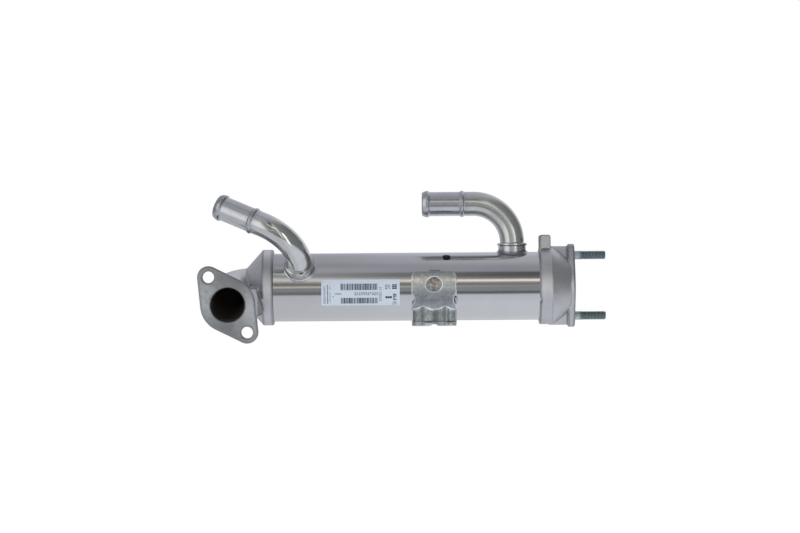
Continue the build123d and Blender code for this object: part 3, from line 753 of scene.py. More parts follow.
def named(settings, *names):
    """Settings under the names that a tree's inputs have."""
    return {name.replace("_", " ").title(): getattr(settings, name) for name in names}


def unit_grid(steps, along, around):
    """Flat grid with its places along (0 to 1) and around (0 to 1)."""
    size = {"Size X": 1.0, "Size Y": 1.0, "Vertices X": along, "Vertices Y": around}
    x, y, _ = steps.apart(steps.make("GeometryNodeInputPosition"))
    return steps.make("GeometryNodeMeshGrid", size), x + 0.5, y + 0.5


def rolled_up(steps, mesh, x, radius, around):
    """Rolls a grid up round the X axis and closes its seams."""
    angle = around * FULL_TURN
    place = steps.vector(x, radius * angle.cosine(), radius * angle.sine())
    return closed_at(steps, mesh, place)


def moved_to(steps, mesh, place):
    """Moves the points of a mesh to their places."""
    return steps.make("GeometryNodeSetPosition", {"Geometry": mesh, "Position": place})


def closed_at(steps, mesh, place):
    """Moves a grid's points to their places and closes its seams."""
    moved = moved_to(steps, mesh, place)
    return steps.make("GeometryNodeMergeByDistance", {"Geometry": moved, "Distance": SMALLEST_GAP})


def open_tube(steps, given, rows, columns, run):
    """Thin tube from Left to Right, out in a run of the grid's rows and back inside its wall."""
    mesh, along, around = unit_grid(steps, rows, columns)
    to_right, to_left = steps.span(along, 0.0, run), steps.span(along, 0.5, 0.5 + run)
    inwards, outwards = steps.span(along, run, 0.5), steps.span(along, 0.5 + run, 1.0)
    x = (given["Right"] - given["Left"]) * (to_right - to_left) + given["Left"]
    radius = given["Radius"] - (inwards - outwards) * given["Wall"]
    return rolled_up(steps, mesh, x, radius, around)


def shell_shape(steps, given):
    """Thin tube along X, less an opening for each pipe."""
    tube = open_tube(steps, given, 5, given["Around"], 0.25)
    cut = steps.add("GeometryNodeMeshBoolean", {"Mesh 1": tube}, operation="DIFFERENCE", solver="EXACT")
    size = {"Vertices": 64, "Radius": given["Opening"], "Depth": SHELL_RADIUS}
    for x, front_angle, _ in PIPE_PLACES.values():
        matrix = on_shell(x, front_angle, 0.0)
        drill = {
            "Geometry": steps.make("GeometryNodeMeshCylinder", size),
            "Translation": matrix @ Vector((0, 0, SHELL_RADIUS)),
            "Rotation": matrix.to_euler(),
        }
        steps.feed(cut.inputs["Mesh 2"], steps.make("GeometryNodeTransform", drill))
    return Value(steps, cut.outputs[0])


PIPE_ROWS = 560
PIPE_COLUMNS = 73
# Shares of the rows at which the outside, the tip's lip and the bore end
OUTSIDE_SHARE = 0.72
LIP_SHARE = 0.74
INSIDE_SHARE = 0.98
# Round the pipe on its map, in metres
MAP_WIDTH = 0.053


def pipe_shape(steps, given):
    """Bent tube: a grid that runs up the outside to the tip, round its lip and back down the bore."""
    mesh, along, around = unit_grid(steps, PIPE_ROWS, PIPE_COLUMNS)
    to_bend_end = given["Bend Height"] + given["Bend Radius"] * (pi / 2)
    tip = to_bend_end + given["Hose Length"]
    half_wall = given["Wall"] * 0.5
    reach = tip - half_wall - given["Start Height"]
    out = steps.span(along, 0.0, OUTSIDE_SHARE)
    lip_angle = steps.span(along, OUTSIDE_SHARE, LIP_SHARE) * pi
    back = steps.span(along, LIP_SHARE, INSIDE_SHARE)
    foot = steps.span(along, INSIDE_SHARE, 1.0)
    distance = lip_angle.sine() * half_wall + ((out - back) * reach + given["Start Height"])
    outside = pipe_outside(steps, given, distance, tip)
    inside = (1.0 - lip_angle.cosine()) * 0.5 - foot
    radius = steps.make("ShaderNodeMix", {0: inside, 2: outside, 3: given["Radius"] - given["Wall"]})
    map_place = steps.vector(distance, around * MAP_WIDTH, 0.0)
    pipe_map = {"Geometry": mesh, "Name": "pipe_map", "Value": map_place}
    mapped = steps.make("GeometryNodeStoreNamedAttribute", pipe_map, data_type="FLOAT2", domain="CORNER")
    return closed_at(steps, mapped, pipe_place(steps, given, distance, radius, around, to_bend_end))


def pipe_outside(steps, given, distance, tip):
    """Outer radius of a pipe at a distance along it: the tube, two beads and the tip's barb."""
    from_tip = tip - distance
    tube = given["Radius"]
    seat = steps.fade(abs(distance - given["Seat Place"]), 0.6 * MM, 1.3 * MM, "SMOOTHSTEP")
    stop = steps.fade(abs(from_tip - given["Stop From Tip"]), 0.5 * MM, 1.7 * MM, "SMOOTHSTEP")
    barb = steps.fade(from_tip, 4.3 * MM, 5.6 * MM, "SMOOTHSTEP")
    narrowing = steps.math("POWER", steps.span(from_tip, 3.9 * MM, 0.0), 1.7)
    radius = tube + seat * (given["Seat Radius"] - tube) + stop * (given["Stop Radius"] - tube)
    radius = radius + barb * (given["Barb Radius"] - tube)
    return radius - narrowing * (given["Barb Radius"] - given["Tip Radius"])


def pipe_place(steps, given, distance, radius, around, to_bend_end):
    """Point of an upright pipe: its leg rises along Z, and its hose end points along -X."""
    bend = (distance - given["Bend Height"]) / given["Bend Radius"]
    bend = steps.math("MINIMUM", steps.larger(bend, 0.0), pi / 2)
    sine, cosine = bend.sine(), bend.cosine()
    past_bend = steps.larger(distance - to_bend_end, 0.0)
    angle = around * FULL_TURN
    inwards = radius * angle.cosine()
    x = inwards * cosine + (given["Bend Radius"] * (1.0 - cosine) + past_bend)
    rise = steps.math("MINIMUM", distance, given["Bend Height"])
    z = given["Bend Radius"] * sine + rise - inwards * sine
    return steps.vector(-x, radius * angle.sine(), z)


STUD_ROWS = 380
STUD_COLUMNS = 49
# Share of the rows that closes each end
STUD_END_SHARE = 0.03


def stud_shape(steps, given):
    """Stud along X with a helical thread, a plain shank, a thinner seat and a rounded tip."""
    mesh, along, around = unit_grid(steps, STUD_ROWS, STUD_COLUMNS)
    thread_start = given["Thread Start"]
    side = steps.span(along, STUD_END_SHARE, 1.0 - STUD_END_SHARE)
    x = side * (given["Right"] - given["Left"]) + given["Left"]
    turns = (x - thread_start) / given["Pitch"]
    phase = steps.math("FRACT", turns - around + 100.0)
    slope = abs(phase * 2.0 - 1.0)
    groove = steps.span(slope, 0.35, 0.95, kind="SMOOTHSTEP") * given["Depth"]
    groove = groove * steps.span(x, thread_start, thread_start + 1.2 * MM)
    rounded = steps.math("SUBTRACT", 1.0, (given["Right"] - x) / given["Tip Round"], clamp=True)
    remainder = steps.math("SUBTRACT", 1.0, rounded * rounded, clamp=True)
    fall = (1.0 - steps.math("SQRT", remainder)) * given["Tip Round"]
    seat = steps.fade(x, -0.15 * MM, 0.0) * given["Seat Step"]
    closing = steps.span(along, 0.0, STUD_END_SHARE) * steps.fade(along, 1.0 - STUD_END_SHARE, 1.0)
    return rolled_up(steps, mesh, x, (given["Radius"] - groove - seat - fall) * closing, around)


def wrapped_on_shell(steps, mesh):
    """Wraps flat geometry (along, arc, height) round the shell's front."""
    x, arc, height = steps.apart(steps.make("GeometryNodeInputPosition"))
    angle = arc / SHELL_RADIUS
    radius = height + SHELL_RADIUS
    place = steps.vector(x, -(radius * angle.cosine()), radius * angle.sine())
    return moved_to(steps, mesh, place)


def label_shape(steps, given):
    """Thin sheet, wrapped on the shell."""
    left, right, low, high = (given[name] for name in ("Left", "Right", "Low Arc", "High Arc"))
    size = steps.vector(right - left, high - low, given["Thickness"])
    block = {"Size": size, "Vertices X": 60, "Vertices Y": 40, "Vertices Z": 2}
    middle = steps.vector((right + left) * 0.5, (high + low) * 0.5, given["Thickness"] * 0.5)
    placed = {"Geometry": steps.make("GeometryNodeMeshCube", block), "Translation": middle}
    return wrapped_on_shell(steps, steps.make("GeometryNodeTransform", placed))


def print_field(steps, given, field, seed):
    """A field of print: a grid of small bars, with random widths and random gaps."""
    along, up, wide, high, columns, rows, least_fill, most_fill, row_fill, kept = field
    width = given["Right"] - given["Left"]
    height = given["High Arc"] - given["Low Arc"]
    cell_width, cell_height = width * wide / columns, height * high / rows
    size = {"Size X": width * wide - cell_width, "Size Y": height * high - cell_height}
    size.update({"Vertices X": columns, "Vertices Y": rows})
    fills = {2: least_fill, 3: most_fill, "Seed": seed}
    fill = steps.make("FunctionNodeRandomValue", fills, output=1, data_type="FLOAT")
    chance = steps.make("FunctionNodeRandomValue", {"Seed": seed + 11}, output=1, data_type="FLOAT")
    bar = {"Size": (1.0, 1.0, 1.0), "Vertices X": 2, "Vertices Y": 7, "Vertices Z": 2}
    bars = {
        "Points": steps.make("GeometryNodeMeshGrid", size),
        "Selection": steps.math("LESS_THAN", chance, kept),
        "Instance": steps.make("GeometryNodeMeshCube", bar),
        "Scale": steps.vector(cell_width * fill, cell_height * row_fill, given["Ink"]),
    }
    height_above = given["Ink"] * 0.5 + given["Base"]
    middle = steps.vector(width * along + given["Left"], height * up + given["Low Arc"], height_above)
    placed = {"Geometry": steps.make("GeometryNodeInstanceOnPoints", bars), "Translation": middle}
    return steps.make("GeometryNodeTransform", placed)


# Fields of print, as shares of the label's length and height from its lower left corner:
# middle along, middle up, width, height, columns, rows, least and most fill, row fill, share kept
DARK_FIELDS = (
    (0.481, 0.73, 0.474, 0.240, 23, 1, 0.45, 0.85, 1.0, 1.0),
    (0.481, 0.20, 0.474, 0.230, 23, 1, 0.45, 0.85, 1.0, 1.0),
    (0.080, 0.45, 0.014, 0.74, 1, 13, 0.7, 1.0, 0.82, 1.0),
    (0.110, 0.45, 0.010, 0.64, 1, 9, 0.5, 1.0, 0.62, 0.9),
    (0.150, 0.36, 0.012, 0.05, 1, 1, 0.8, 1.0, 1.0, 1.0),
    (0.858, 0.33, 0.084, 0.080, 3, 1, 0.85, 1.0, 1.0, 1.0),
    (0.938, 0.34, 0.046, 0.260, 2, 4, 0.6, 1.0, 0.85, 0.9),
    (0.932, 0.73, 0.064, 0.190, 2, 3, 0.6, 1.0, 0.8, 0.9),
)
PALE_FIELDS = (
    (0.573, 0.47, 0.306, 0.125, 11, 2, 0.5, 0.85, 0.8, 0.9),
    (0.213, 0.47, 0.092, 0.070, 5, 1, 0.4, 0.8, 1.0, 0.9),
    (0.040, 0.42, 0.030, 0.68, 2, 16, 0.5, 0.95, 0.7, 0.9),
    (0.752, 0.45, 0.036, 0.56, 2, 9, 0.6, 0.95, 0.6, 0.9),
    (0.845, 0.72, 0.070, 0.18, 4, 3, 0.5, 0.95, 0.75, 0.85),
    (0.928, 0.10, 0.062, 0.15, 4, 4, 0.5, 0.95, 0.75, 0.8),
)


def print_shape(fields, seed):
    """Steps of all fields of one ink, wrapped on the label."""
    def build(steps, given):
        joined = steps.add("GeometryNodeJoinGeometry")
        for number, field in enumerate(fields):
            steps.feed(joined.inputs[0], print_field(steps, given, field, seed + number))
        real = {"Geometry": Value(steps, joined.outputs[0])}
        return wrapped_on_shell(steps, steps.make("GeometryNodeRealizeInstances", real))

    return build


def gas_tube_shape(steps, given):
    """One gas tube in the middle and a ring of them round it."""
    tube = open_tube(steps, given, 41, 49, 0.45)
    ring = {"Vertices": given["Ring Count"], "Radius": given["Pitch"]}
    points = steps.make("GeometryNodeMeshCircle", ring, fill_type="NONE")
    for rotation in ((0.0, pi / 2, 0.0), (pi / 2, 0.0, 0.0)):
        points = steps.make("GeometryNodeTransform", {"Geometry": points, "Rotation": rotation})
    joined = steps.add("GeometryNodeJoinGeometry")
    steps.feed(joined.inputs[0], points)
    steps.feed(joined.inputs[0], steps.make("GeometryNodeMeshLine", {"Count": 1}))
    tubes = {"Points": Value(steps, joined.outputs[0]), "Instance": tube}
    return steps.make("GeometryNodeInstanceOnPoints", tubes)


def shaped(name, build, values):
    """Closed piece from a tree of its own."""
    return close_mesh(run_tree(name, shape_tree(f"{name}_shape", build, values), values))


def rounded_copy(node, name, voxel, passes):
    """Copy of a node with every edge rounded, as a casting or a pressing has."""
    piece = new_object(name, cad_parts[node].data.copy())
    close_mesh(piece, recalculate=False)
    remesh = piece.modifiers.new("rounding", "REMESH")
    remesh.mode = "VOXEL"
    remesh.voxel_size = voxel
    smooth = piece.modifiers.new("smoothing", "SMOOTH")
    smooth.factor = 0.5
    smooth.iterations = passes
    return with_plain_mesh(piece)


def elbow_path():
    """Centre line of the inlet's gas way, from the shell's end round the bend to the flange's face."""
    bend_radius = 16.5 * MM
    depth = 37.5 * MM
    bend_steps = 6
    x, z = INLET_BORE
    slope = atan2(-z, depth)
    path = [Vector((SHELL_LOW.x, 0, 0))]
    for step in range(bend_steps + 1):
        angle = step * (pi / 2) / bend_steps
        forwards = bend_radius * (1 - cos(angle))
        along = x + bend_radius * (1 - sin(angle))
        path.append(Vector((along, -forwards * cos(slope), -forwards * sin(slope))))
    path.append(Vector((x, INLET_LOW.y, z)))
    return path


def inlet_reach(place):
    """How far from the gas way its wall can be: the elbow's bore, widening in the cone up to the shell."""
    elbow_reach, shell_reach = 12.6 * MM, 24.5 * MM
    cone_start, cone_length = -230 * MM, 10.6 * MM
    elbow_start = -8 * MM
    if place.y < elbow_start:
        return elbow_reach
    widening = (place.x - cone_start) / cone_length
    return elbow_reach + (shell_reach - elbow_reach) * min(max(widening, 0.0), 1.0)


def outlet_reach(place):
    """How far from the axis the outlet's inner wall can be."""
    return SHELL_RADIUS


def matte_group():
    """Collection of the pieces that the castings' lights reach."""
    return bpy.data.collections.get("matte_pieces") or bpy.data.collections.new("matte_pieces")


def make_uneven(piece, depth, wave, is_machined=None):
    """Gives a cast or pressed surface slow waves, but not where it is machined."""
    moved = []
    for vertex in piece.data.vertices:
        place = vertex.co.copy()
        if is_machined is None or not is_machined(place):
            height = noise.noise(place / wave) + 0.4 * noise.noise(place / (wave / 3))
            place += vertex.normal * depth * height
        moved.extend(place)
    piece.data.vertices.foreach_set("co", moved)
    piece.data.update()


def keep(piece, name, values):
    """Keeps one number a vertex, for the materials."""
    piece.data.attributes.new(name, "FLOAT", "POINT").data.foreach_set("value", values)


def mark_edges(piece, reach, spread=2):
    """Keeps how far each vertex stands out of its neighbours: above 0 on edges, below 0 in corners."""
    edit = bmesh.new()
    edit.from_mesh(piece.data)
    edit.normal_update()
    around = [[edge.other_vert(vertex).index for edge in vertex.link_edges] for vertex in edit.verts]
    places = [vertex.co.copy() for vertex in edit.verts]
    heights = []
    for vertex, near in zip(edit.verts, around):
        middle = sum((places[index] for index in near), Vector()) / len(near)
        heights.append((vertex.co - middle).dot(vertex.normal) / reach)
    for _ in range(spread):
        heights = [
            (height + sum(heights[index] for index in near)) / (1 + len(near))
            for height, near in zip(heights, around)
        ]
    edit.free()
    keep(piece, "edge", heights)


def between(value, low, high, soft):
    """1 from low to high, and down to 0 over a soft distance outside them."""
    outside = max(low - value, value - high, 0.0)
    return max(1.0 - outside / soft, 0.0)


def inlet_tone(place):
    """How much paler or darker the inlet's skin is: painted light makes the gusset beside the flange paler.
    """
    if place.y > -10 * MM:
        return 1.0
    gusset = between(place.x, -227 * MM, -222.6 * MM, 0.4 * MM) * between(place.z, -20 * MM, -1 * MM, 1 * MM)
    return 1.0 + 0.8 * gusset


def outlet_tone(place):
    """The same for the outlet: the lug and the flange's upper end are a little darker."""
    lug = between(place.z, OUTLET_HIGH.z - 9 * MM, OUTLET_HIGH.z, 1 * MM)
    flange_top = between(place.x, -6 * MM, 0.0, 1 * MM) * between(place.z, 18 * MM, OUTLET_HIGH.z, 4 * MM)
    return 1.0 - 0.22 * lug - 0.12 * flange_top


def mark_soot(piece, path, reach):
    """Marks the surfaces within reach of a path that face it, which are the casting's inside, for painted
    shade.
    """
    values = []
    for vertex in piece.data.vertices:
        place = vertex.co
        near = min(
            (nearest_on_line(place, start, end) for start, end in zip(path, path[1:])),
            key=lambda point: (place - point).length,
        )
        away = place - near
        facing = -away.normalized().dot(vertex.normal)
        inside = away.length < reach(place) and facing > 0.35
        values.append(1.0 if inside else 0.0)
    keep(piece, "soot", values)


def nearest_on_line(place, start, end):
    """Point of a straight line's part that is nearest to a place."""
    share = geometry.intersect_point_line(place, start, end)[1]
    return start.lerp(end, min(max(share, 0.0), 1.0))


class COOLER_OT_shell(bpy.types.Operator):
    """Makes the polished shell"""

    bl_idname = "cooler.shell"
    bl_label = "Shell"

    def execute(self, context):
        settings = context.scene.cooler_shell
        values = {
            "Radius": SHELL_RADIUS,
            "Around": settings.segments + 1,
            "Material": polished_steel(settings),
            **ends(SHELL_LOW, SHELL_HIGH),
            **named(settings, "wall", "opening"),
        }
        finish_piece(shaped("polished_shell", shell_shape, values), "polished_steel", "shell_tube")
        return {"FINISHED"}


class COOLER_OT_pipes(bpy.types.Operator):
    """Makes both coolant pipes and finishes their ferrules"""

    bl_idname = "cooler.pipes"
    bl_label = "Coolant Pipes"

    def execute(self, context):
        settings = context.scene.cooler_pipes
        bend, hose = settings.left_roughness, settings.hose_roughness
        plain = settings.roughness
        steels = {
            "left_coolant_pipe": pipe_steel("polished_pipe", settings, bend, hose, settings.left_dirt),
            "right_coolant_pipe": pipe_steel("satin_pipe", settings, plain, plain, settings.right_dirt),
        }
        values = named(
            settings, "radius", "wall", "bend_radius", "hose_length", "seat_radius", "seat_place",
            "stop_radius", "stop_from_tip", "barb_radius", "tip_radius",
        )
        values.update({"Bend Height": PIPE_BEND_HEIGHT, "Start Height": PIPE_START_HEIGHT, "Material": None})
        tree = shape_tree("bent_pipe_shape", pipe_shape, values)
        for node, place in PIPE_PLACES.items():
            pipe = run_tree(node.replace("coolant", "bent"), tree, {**values, "Material": steels[node]})
            pipe.data.transform(on_shell(*place))
            close_mesh(pipe)
            finish_piece(pipe, "polished_steel" if node.startswith("left") else "satin_steel", node)
        steel = ferrule_steel(settings)
        for side in ("left", "right"):
            give_material(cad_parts[f"{side}_pipe_socket"], steel)
        return {"FINISHED"}


def finish_casting(side, name, passes, face, bore, path, reach, tone):
    """Makes one casting. Its machined face is an axis, a place on it and the side it looks to."""
    settings = bpy.context.scene.cooler_castings
    node = f"{side}_casting"
    casting = rounded_copy(node, name, getattr(settings, f"{side}_edge_size"), passes)
    axis, face_place, outwards = face
    below_face = -0.6 * MM
    make_uneven(
        casting, settings.skin_depth, 6 * MM,
        lambda place: (place[axis] - face_place) * outwards > below_face,
    )
    mark_edges(casting, 0.04 * MM)
    # Marks the inside surfaces that get painted shade
    mark_soot(casting, path, reach)
    keep(casting, "tone", [tone(vertex.co) for vertex in casting.data.vertices])
    # Strength of the painted shade in the casting's corners
    dirt = getattr(settings, f"{side}_dirt")
    give_material(casting, cast_steel(f"cast_{side}", settings, face, bore, dirt))
    close_mesh(casting, recalculate=False)
    matte_group().objects.link(casting)
    finish_piece(casting, "cast_steel", node)


class COOLER_OT_castings(bpy.types.Operator):
    """Makes the inlet and outlet castings"""

    bl_idname = "cooler.castings"
    bl_label = "Castings"

    def execute(self, context):
        face = (1, INLET_LOW.y, -1.0)
        finish_casting("inlet", "inlet_elbow", 4, face, INLET_BORE, elbow_path(), inlet_reach, inlet_tone)
        face = (0, OUTLET_HIGH.x, 1.0)
        axis = (Vector((OUTLET_HIGH.x, 0, 0)), Vector((OUTLET_LOW.x, 0, 0)))
        finish_casting("outlet", "outlet_end", 3, face, (0.0, 0.0), axis, outlet_reach, outlet_tone)
        return {"FINISHED"}


class COOLER_OT_bracket(bpy.types.Operator):
    """Makes the saddle bracket"""

    bl_idname = "cooler.bracket"
    bl_label = "Bracket"

    def execute(self, context):
        settings = context.scene.cooler_bracket
        bracket = rounded_copy("mounting_bracket", "saddle_bracket", settings.edge_size, 3)
        make_uneven(bracket, settings.skin_depth, 5 * MM)
        mark_edges(bracket, 0.03 * MM)
        give_material(bracket, bracket_steel(settings))
        close_mesh(bracket, recalculate=False)
        finish_piece(bracket, "bracket_steel", "mounting_bracket")
        return {"FINISHED"}


class COOLER_OT_studs(bpy.types.Operator):
    """Makes the two threaded studs"""

    bl_idname = "cooler.studs"
    bl_label = "Studs"

    def execute(self, context):
        settings = context.scene.cooler_studs
        values = {
            "Radius": STUD_RADIUS,
            "Material": plated_stud(settings),
            **ends(STUD_LOW, STUD_HIGH),
            **named(settings, "pitch", "depth", "thread_start", "tip_round", "seat_step"),
        }
        tree = shape_tree("stud_shape", stud_shape, values)
        for name, side in (("upper", 1), ("lower", -1)):
            stud = run_tree(f"{name}_threaded_stud", tree, values)
            stud.data.transform(Matrix.Translation((0, 0, side * STUD_OFFSET)))
            close_mesh(stud)
            finish_piece(stud, "plated_stud", f"{name}_stud")
        return {"FINISHED"}


class COOLER_OT_label(bpy.types.Operator):
    """Makes the paper label and its print"""

    bl_idname = "cooler.label"
    bl_label = "Label"

    def execute(self, context):
        settings = context.scene.cooler_label
        paper = settings.paper_colour
        coated = mottled_finish(
            "label_paper", 0.0, (1800.0, 90.0), (lit(paper, 0.95), lit(paper)), (0.42, 0.55), 0.004 * MM
        )
        edges = {
            **ends(LABEL_LOW, LABEL_HIGH),
            "Low Arc": asin(LABEL_LOW.z / SHELL_RADIUS) * SHELL_RADIUS,
            "High Arc": asin(LABEL_HIGH.z / SHELL_RADIUS) * SHELL_RADIUS,
        }
        values = {**edges, "Thickness": settings.thickness, "Material": coated}
        finish_piece(shaped("label_sheet", label_shape, values), "label_paper", "label")
        for name, fields, colour in (
            ("dark_print", DARK_FIELDS, settings.ink_colour),
            ("pale_print", PALE_FIELDS, settings.pale_ink_colour),
        ):
            shades = (lit(colour, 0.7), lit(colour, 1.3))
            ink = mottled_finish(f"{name}_ink", 0.0, (3000.0, 500.0), shades, (0.4, 0.6))
            values = {**edges, "Base": settings.thickness, "Ink": settings.ink_thickness, "Material": ink}
            finish_piece(shaped(name, print_shape(fields, settings.seed), values), "label_paper")
        return {"FINISHED"}


class COOLER_OT_core(bpy.types.Operator):
    """Makes the gas tubes and finishes the plates that hold them"""

    bl_idname = "cooler.core"
    bl_label = "Tube Bundle"

    def execute(self, context):
        warm, cool = (0.36, 0.32, 0.27, 1.0), (0.46, 0.45, 0.44, 1.0)
        steel = mottled_finish("inner_steel", 1.0, (1500.0, 150.0), (warm, cool), (0.32, 0.5), 0.01 * MM)
        tubes = [f"gas_tube_{number}" for number in range(1, 8)]
        (low, high), *ring = (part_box(tube) for tube in tubes)
        middles = [(box[0] + box[1]) / 2 for box in ring]
        values = {
            "Radius": (high.z - low.z) / 2,
            "Wall": 0.6 * MM,
            **ends(low, high),
            "Pitch": max(max(middle.y, middle.z) for middle in middles),
            "Ring Count": len(ring),
            "Material": steel,
        }
        finish_piece(shaped("gas_tube_bundle", gas_tube_shape, values), "inner_steel", *tubes)
        for node in ("inlet_tube_plate", "outlet_tube_plate", "support_baffle_1", "support_baffle_2"):
            give_material(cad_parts[node], steel)
        return {"FINISHED"}


# Light round the shell's axis: angle from the front towards the top in degrees, and its colour
ROUND_LIGHTS = (
    (-180, (0.44, 0.45, 0.48)), (-168, (0.42, 0.43, 0.46)), (-152, (0.80, 0.83, 0.86)),
    (-120, (0.84, 0.86, 0.91)), (-60, (0.84, 0.88, 0.95)), (-32, (0.78, 0.81, 0.85)),
    (-27.5, (0.74, 0.78, 0.82)), (-25, (0.15, 0.17, 0.19)), (-19.5, (0.11, 0.13, 0.15)),
    (-14, (0.33, 0.35, 0.36)), (-3, (0.30, 0.33, 0.35)), (0, (0.34, 0.35, 0.34)),
    (4, (0.27, 0.28, 0.27)), (10, (0.23, 0.22, 0.21)), (12, (0.42, 0.39, 0.36)),
    (15.5, (0.66, 0.62, 0.57)), (17.5, (1.60, 1.47, 1.32)), (21.5, (1.52, 1.38, 1.22)),
    (24.5, (0.34, 0.29, 0.24)), (28, (0.10, 0.09, 0.08)), (47, (0.08, 0.08, 0.09)),
    (50.5, (0.34, 0.36, 0.40)), (54, (0.38, 0.40, 0.45)), (68, (0.39, 0.41, 0.46)),
    (90, (0.58, 0.59, 0.63)), (106, (0.60, 0.61, 0.66)), (120, (0.60, 0.61, 0.68)),
    (132, (0.68, 0.71, 0.78)), (159, (0.62, 0.65, 0.70)), (168, (0.98, 1.00, 1.04)),
    (174, (0.94, 0.96, 1.00)), (180, (0.44, 0.45, 0.48)),
)

# The same at the shell's left end
LEFT_LIGHTS = (
    (-180, (0.44, 0.45, 0.48)), (-168, (0.42, 0.43, 0.46)), (-152, (0.72, 0.74, 0.76)),
    (-60, (0.73, 0.75, 0.79)), (-32, (0.70, 0.72, 0.76)), (-28, (0.68, 0.70, 0.75)),
    (-25.5, (0.19, 0.20, 0.21)), (-20, (0.22, 0.22, 0.22)), (-13, (0.36, 0.36, 0.36)),
    (-7, (0.33, 0.33, 0.32)), (-3, (0.30, 0.29, 0.27)), (-1, (1.10, 1.05, 0.98)),
    (2, (0.98, 0.93, 0.86)), (4.5, (0.24, 0.22, 0.20)), (11, (0.23, 0.21, 0.19)),
    (18, (0.40, 0.39, 0.36)), (22, (0.68, 0.68, 0.63)), (24, (1.10, 1.10, 1.06)),
    (28, (1.00, 1.00, 0.97)), (32, (0.62, 0.63, 0.62)), (37, (0.45, 0.46, 0.46)),
    (50, (0.50, 0.51, 0.53)), (64, (0.50, 0.51, 0.54)), (80, (0.34, 0.35, 0.39)),
    (98, (0.43, 0.44, 0.49)), (134, (0.47, 0.48, 0.54)), (159, (0.58, 0.59, 0.63)),
    (168, (0.96, 0.98, 1.02)), (174, (0.92, 0.94, 0.98)), (180, (0.44, 0.45, 0.48)),
)

# Light from the sides: angle from the front towards the right in degrees, and its colour
SIDE_LIGHTS = (
    (-180, (0.62, 0.63, 0.66)), (-120, (0.50, 0.52, 0.55)), (-100, (0.34, 0.35, 0.38)),
    (-75, (0.42, 0.43, 0.46)), (-58, (1.05, 1.07, 1.10)), (-32, (1.25, 1.25, 1.27)),
    (-22, (0.45, 0.46, 0.46)), (-8, (0.32, 0.34, 0.32)), (4, (0.95, 0.97, 0.95)),
    (14, (0.95, 0.97, 0.95)), (22, (0.34, 0.35, 0.36)), (45, (0.26, 0.27, 0.28)),
    (112, (0.20, 0.21, 0.22)), (138, (0.85, 0.86, 0.90)), (180, (0.62, 0.63, 0.66)),
)
STRIP_LIGHT = (1.9, 1.9, 1.92, 1.0)


def light_ramp(steps, angle, lights):
    """Colour of the surroundings at an angle."""
    stops = [((degrees_round + 180) / 360, colour) for degrees_round, colour in lights]
    return steps.ramp(steps.span(angle, -pi, pi), stops)


def strip_mask(steps, x, front, z):
    """Mask of a narrow upright light to the right of the camera."""
    off_middle = abs(steps.angle(x, front) - radians(28.5))
    narrow = steps.fade(off_middle, radians(3.5), radians(6))
    return narrow * steps.span(z, -0.56, -0.48) * steps.fade(z, 0.16, 0.24)


def studio_surroundings(settings):
    """World: soft light panels round the object, and plain white behind it for the camera."""
    world = bpy.data.worlds.new("studio")
    world.use_nodes = True
    world.node_tree.nodes.clear()
    steps = Steps(world.node_tree)
    x, y, z = steps.apart(steps.make("ShaderNodeTexCoord", output="Generated"))
    front = -y
    elevation = steps.angle(z, front)
    main, left = (light_ramp(steps, elevation, lights) for lights in (ROUND_LIGHTS, LEFT_LIGHTS))
    side_light = light_ramp(steps, steps.angle(x, front), SIDE_LIGHTS)
    round_light = steps.mix(steps.span(x, 0.015, -0.03), main, left)
    to_side = steps.span(abs(x), 0.06, 0.22, kind="SMOOTHSTEP")
    below = steps.span(z, -0.5, -0.2, kind="SMOOTHSTEP")
    side_top = steps.span(x, 0.0, 0.4, 0.45, 0.72)
    above = steps.fade(z, side_top, side_top + 0.28, "SMOOTHSTEP")
    around = steps.mix(to_side * below * above, round_light, side_light)
    around = steps.mix(strip_mask(steps, x, front, z), around, STRIP_LIGHT)
    lighting = steps.make("ShaderNodeBackground", {"Color": around, "Strength": settings.world_strength})
    backdrop = steps.make("ShaderNodeBackground", {"Color": WHITE, "Strength": 1.0})
    seen = steps.make("ShaderNodeLightPath", output="Is Camera Ray")
    chosen = steps.make("ShaderNodeMixShader", {0: seen, 1: lighting, 2: backdrop})
    steps.add("ShaderNodeOutputWorld", {"Surface": chosen})
    return world


def floor_material(settings):
    """Plain pale floor that stays close to white."""
    finish = Finish("pale_floor", 0.0)
    mottle = finish.noise(finish.place, 3.0, 2.0)
    finish.feed(finish.shader.inputs["Emission Color"], WHITE)
    finish.feed(finish.shader.inputs["Emission Strength"], 0.62)
    colour = settings.floor_colour
    return finish.done(finish.shades(mottle, colour, 0.985, 1.0), 0.8)


def soft_light(name, place, target, width, height, power, receivers=None):
    """Soft light panel: mirrored only in its receivers, or in nothing when there are none."""
    data = bpy.data.lights.new(name, "AREA")
    data.shape = "RECTANGLE"
    data.size = width
    data.size_y = height
    data.energy = power
    light = new_object(name, data)
    light.location = place
    light.rotation_euler = (Vector(target) - Vector(place)).to_track_quat("-Z", "Y").to_euler()
    if receivers:
        light.light_linking.receiver_collection = receivers
    else:
        light.visible_glossy = False


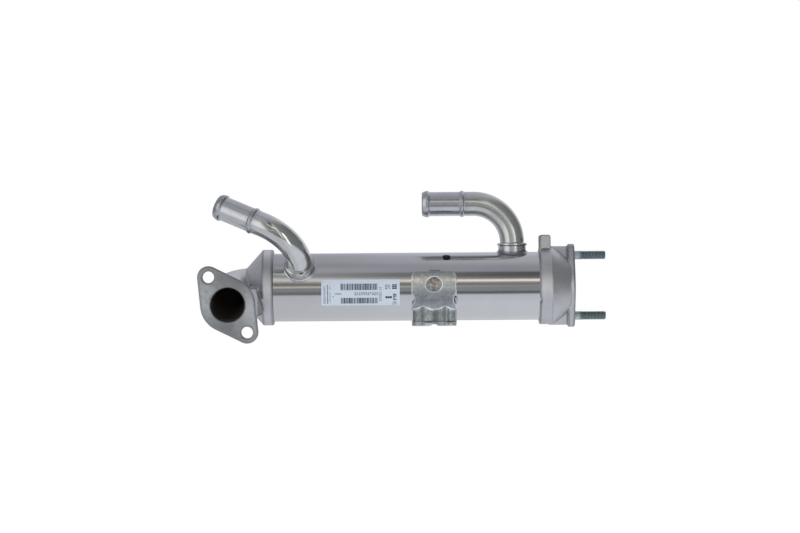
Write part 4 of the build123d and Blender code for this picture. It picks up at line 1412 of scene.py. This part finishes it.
class COOLER_OT_stage(bpy.types.Operator):
    """Makes the floor, the lights and the camera"""

    bl_idname = "cooler.stage"
    bl_label = "Stage"

    def execute(self, context):
        settings = context.scene.cooler_stage
        scene = context.scene
        scene.world = studio_surroundings(settings)
        scene.view_settings.view_transform = "Standard"
        data = bpy.data.cameras.new("camera")
        data.sensor_width = 36.0
        data.lens = settings.camera_lens
        data.clip_end = 50.0
        camera = new_object("camera", data)
        camera.location = (settings.camera_x, -settings.camera_distance, settings.camera_z)
        camera.rotation_euler = (pi / 2, settings.camera_roll, 0)
        scene.camera = camera
        half, height = settings.floor_size / 2, settings.floor_height
        mesh = bpy.data.meshes.new("floor")
        corners = [(-half, -half, height), (half, -half, height), (half, half, height), (-half, half, height)]
        mesh.from_pydata(corners, [], [(0, 1, 2, 3)])
        floor = new_object("floor", mesh)
        floor.visible_glossy = False
        floor.visible_diffuse = False
        give_material(floor, floor_material(settings))
        middle = (settings.camera_x, 0, 0)
        matte = matte_group()
        soft_light("front_panel", (-0.15, -1.3, -0.15), middle, 1.6, 0.9, settings.front_power)
        soft_light("matte_front_panel", (-0.12, -1.3, -0.12), middle, 1.5, 0.75, settings.matte_power, matte)
        soft_light("matte_top_panel", (-0.12, 0.75, 1.1), middle, 1.6, 0.7, settings.matte_top_power, matte)
        return {"FINISHED"}


class COOLER_PT_panel(bpy.types.Panel):
    """Lists the cooler's settings and the steps that make it"""

    bl_idname = "COOLER_PT_panel"
    bl_label = "Exhaust Gas Cooler"
    bl_space_type = "VIEW_3D"
    bl_region_type = "UI"
    bl_category = "Cooler"

    def draw(self, context):
        for operator, settings_name, settings_class in PARTS:
            box = self.layout.box()
            box.operator(operator.bl_idname)
            if settings_class is None:
                continue
            settings = getattr(context.scene, settings_name)
            for name in settings_class.__annotations__:
                box.prop(settings, name)


PARTS = (
    (COOLER_OT_stage, "cooler_stage", CoolerStageSettings),
    (COOLER_OT_shell, "cooler_shell", CoolerShellSettings),
    (COOLER_OT_pipes, "cooler_pipes", CoolerPipeSettings),
    (COOLER_OT_castings, "cooler_castings", CoolerCastingSettings),
    (COOLER_OT_bracket, "cooler_bracket", CoolerBracketSettings),
    (COOLER_OT_studs, "cooler_studs", CoolerStudSettings),
    (COOLER_OT_label, "cooler_label", CoolerLabelSettings),
    (COOLER_OT_core, "", None),
)


def register():
    """Adds the settings, the operators and the panel to Blender."""
    for operator, settings_name, settings_class in PARTS:
        bpy.utils.register_class(operator)
        if settings_class is not None:
            bpy.utils.register_class(settings_class)
            setattr(bpy.types.Scene, settings_name, PointerProperty(type=settings_class))
    bpy.utils.register_class(COOLER_PT_panel)


def unregister():
    """Takes them out again."""
    bpy.utils.unregister_class(COOLER_PT_panel)
    for operator, settings_name, settings_class in reversed(PARTS):
        if settings_class is not None:
            delattr(bpy.types.Scene, settings_name)
            bpy.utils.unregister_class(settings_class)
        bpy.utils.unregister_class(operator)


def write_sizes():
    """Brings the scene up to date."""
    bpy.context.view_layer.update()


def main():
    register()
    bpy.ops.cooler.stage()
    bpy.ops.cooler.shell()
    bpy.ops.cooler.pipes()
    bpy.ops.cooler.castings()
    bpy.ops.cooler.bracket()
    bpy.ops.cooler.studs()
    bpy.ops.cooler.label()
    bpy.ops.cooler.core()
    write_sizes()


if __name__ == "__main__":
    main()
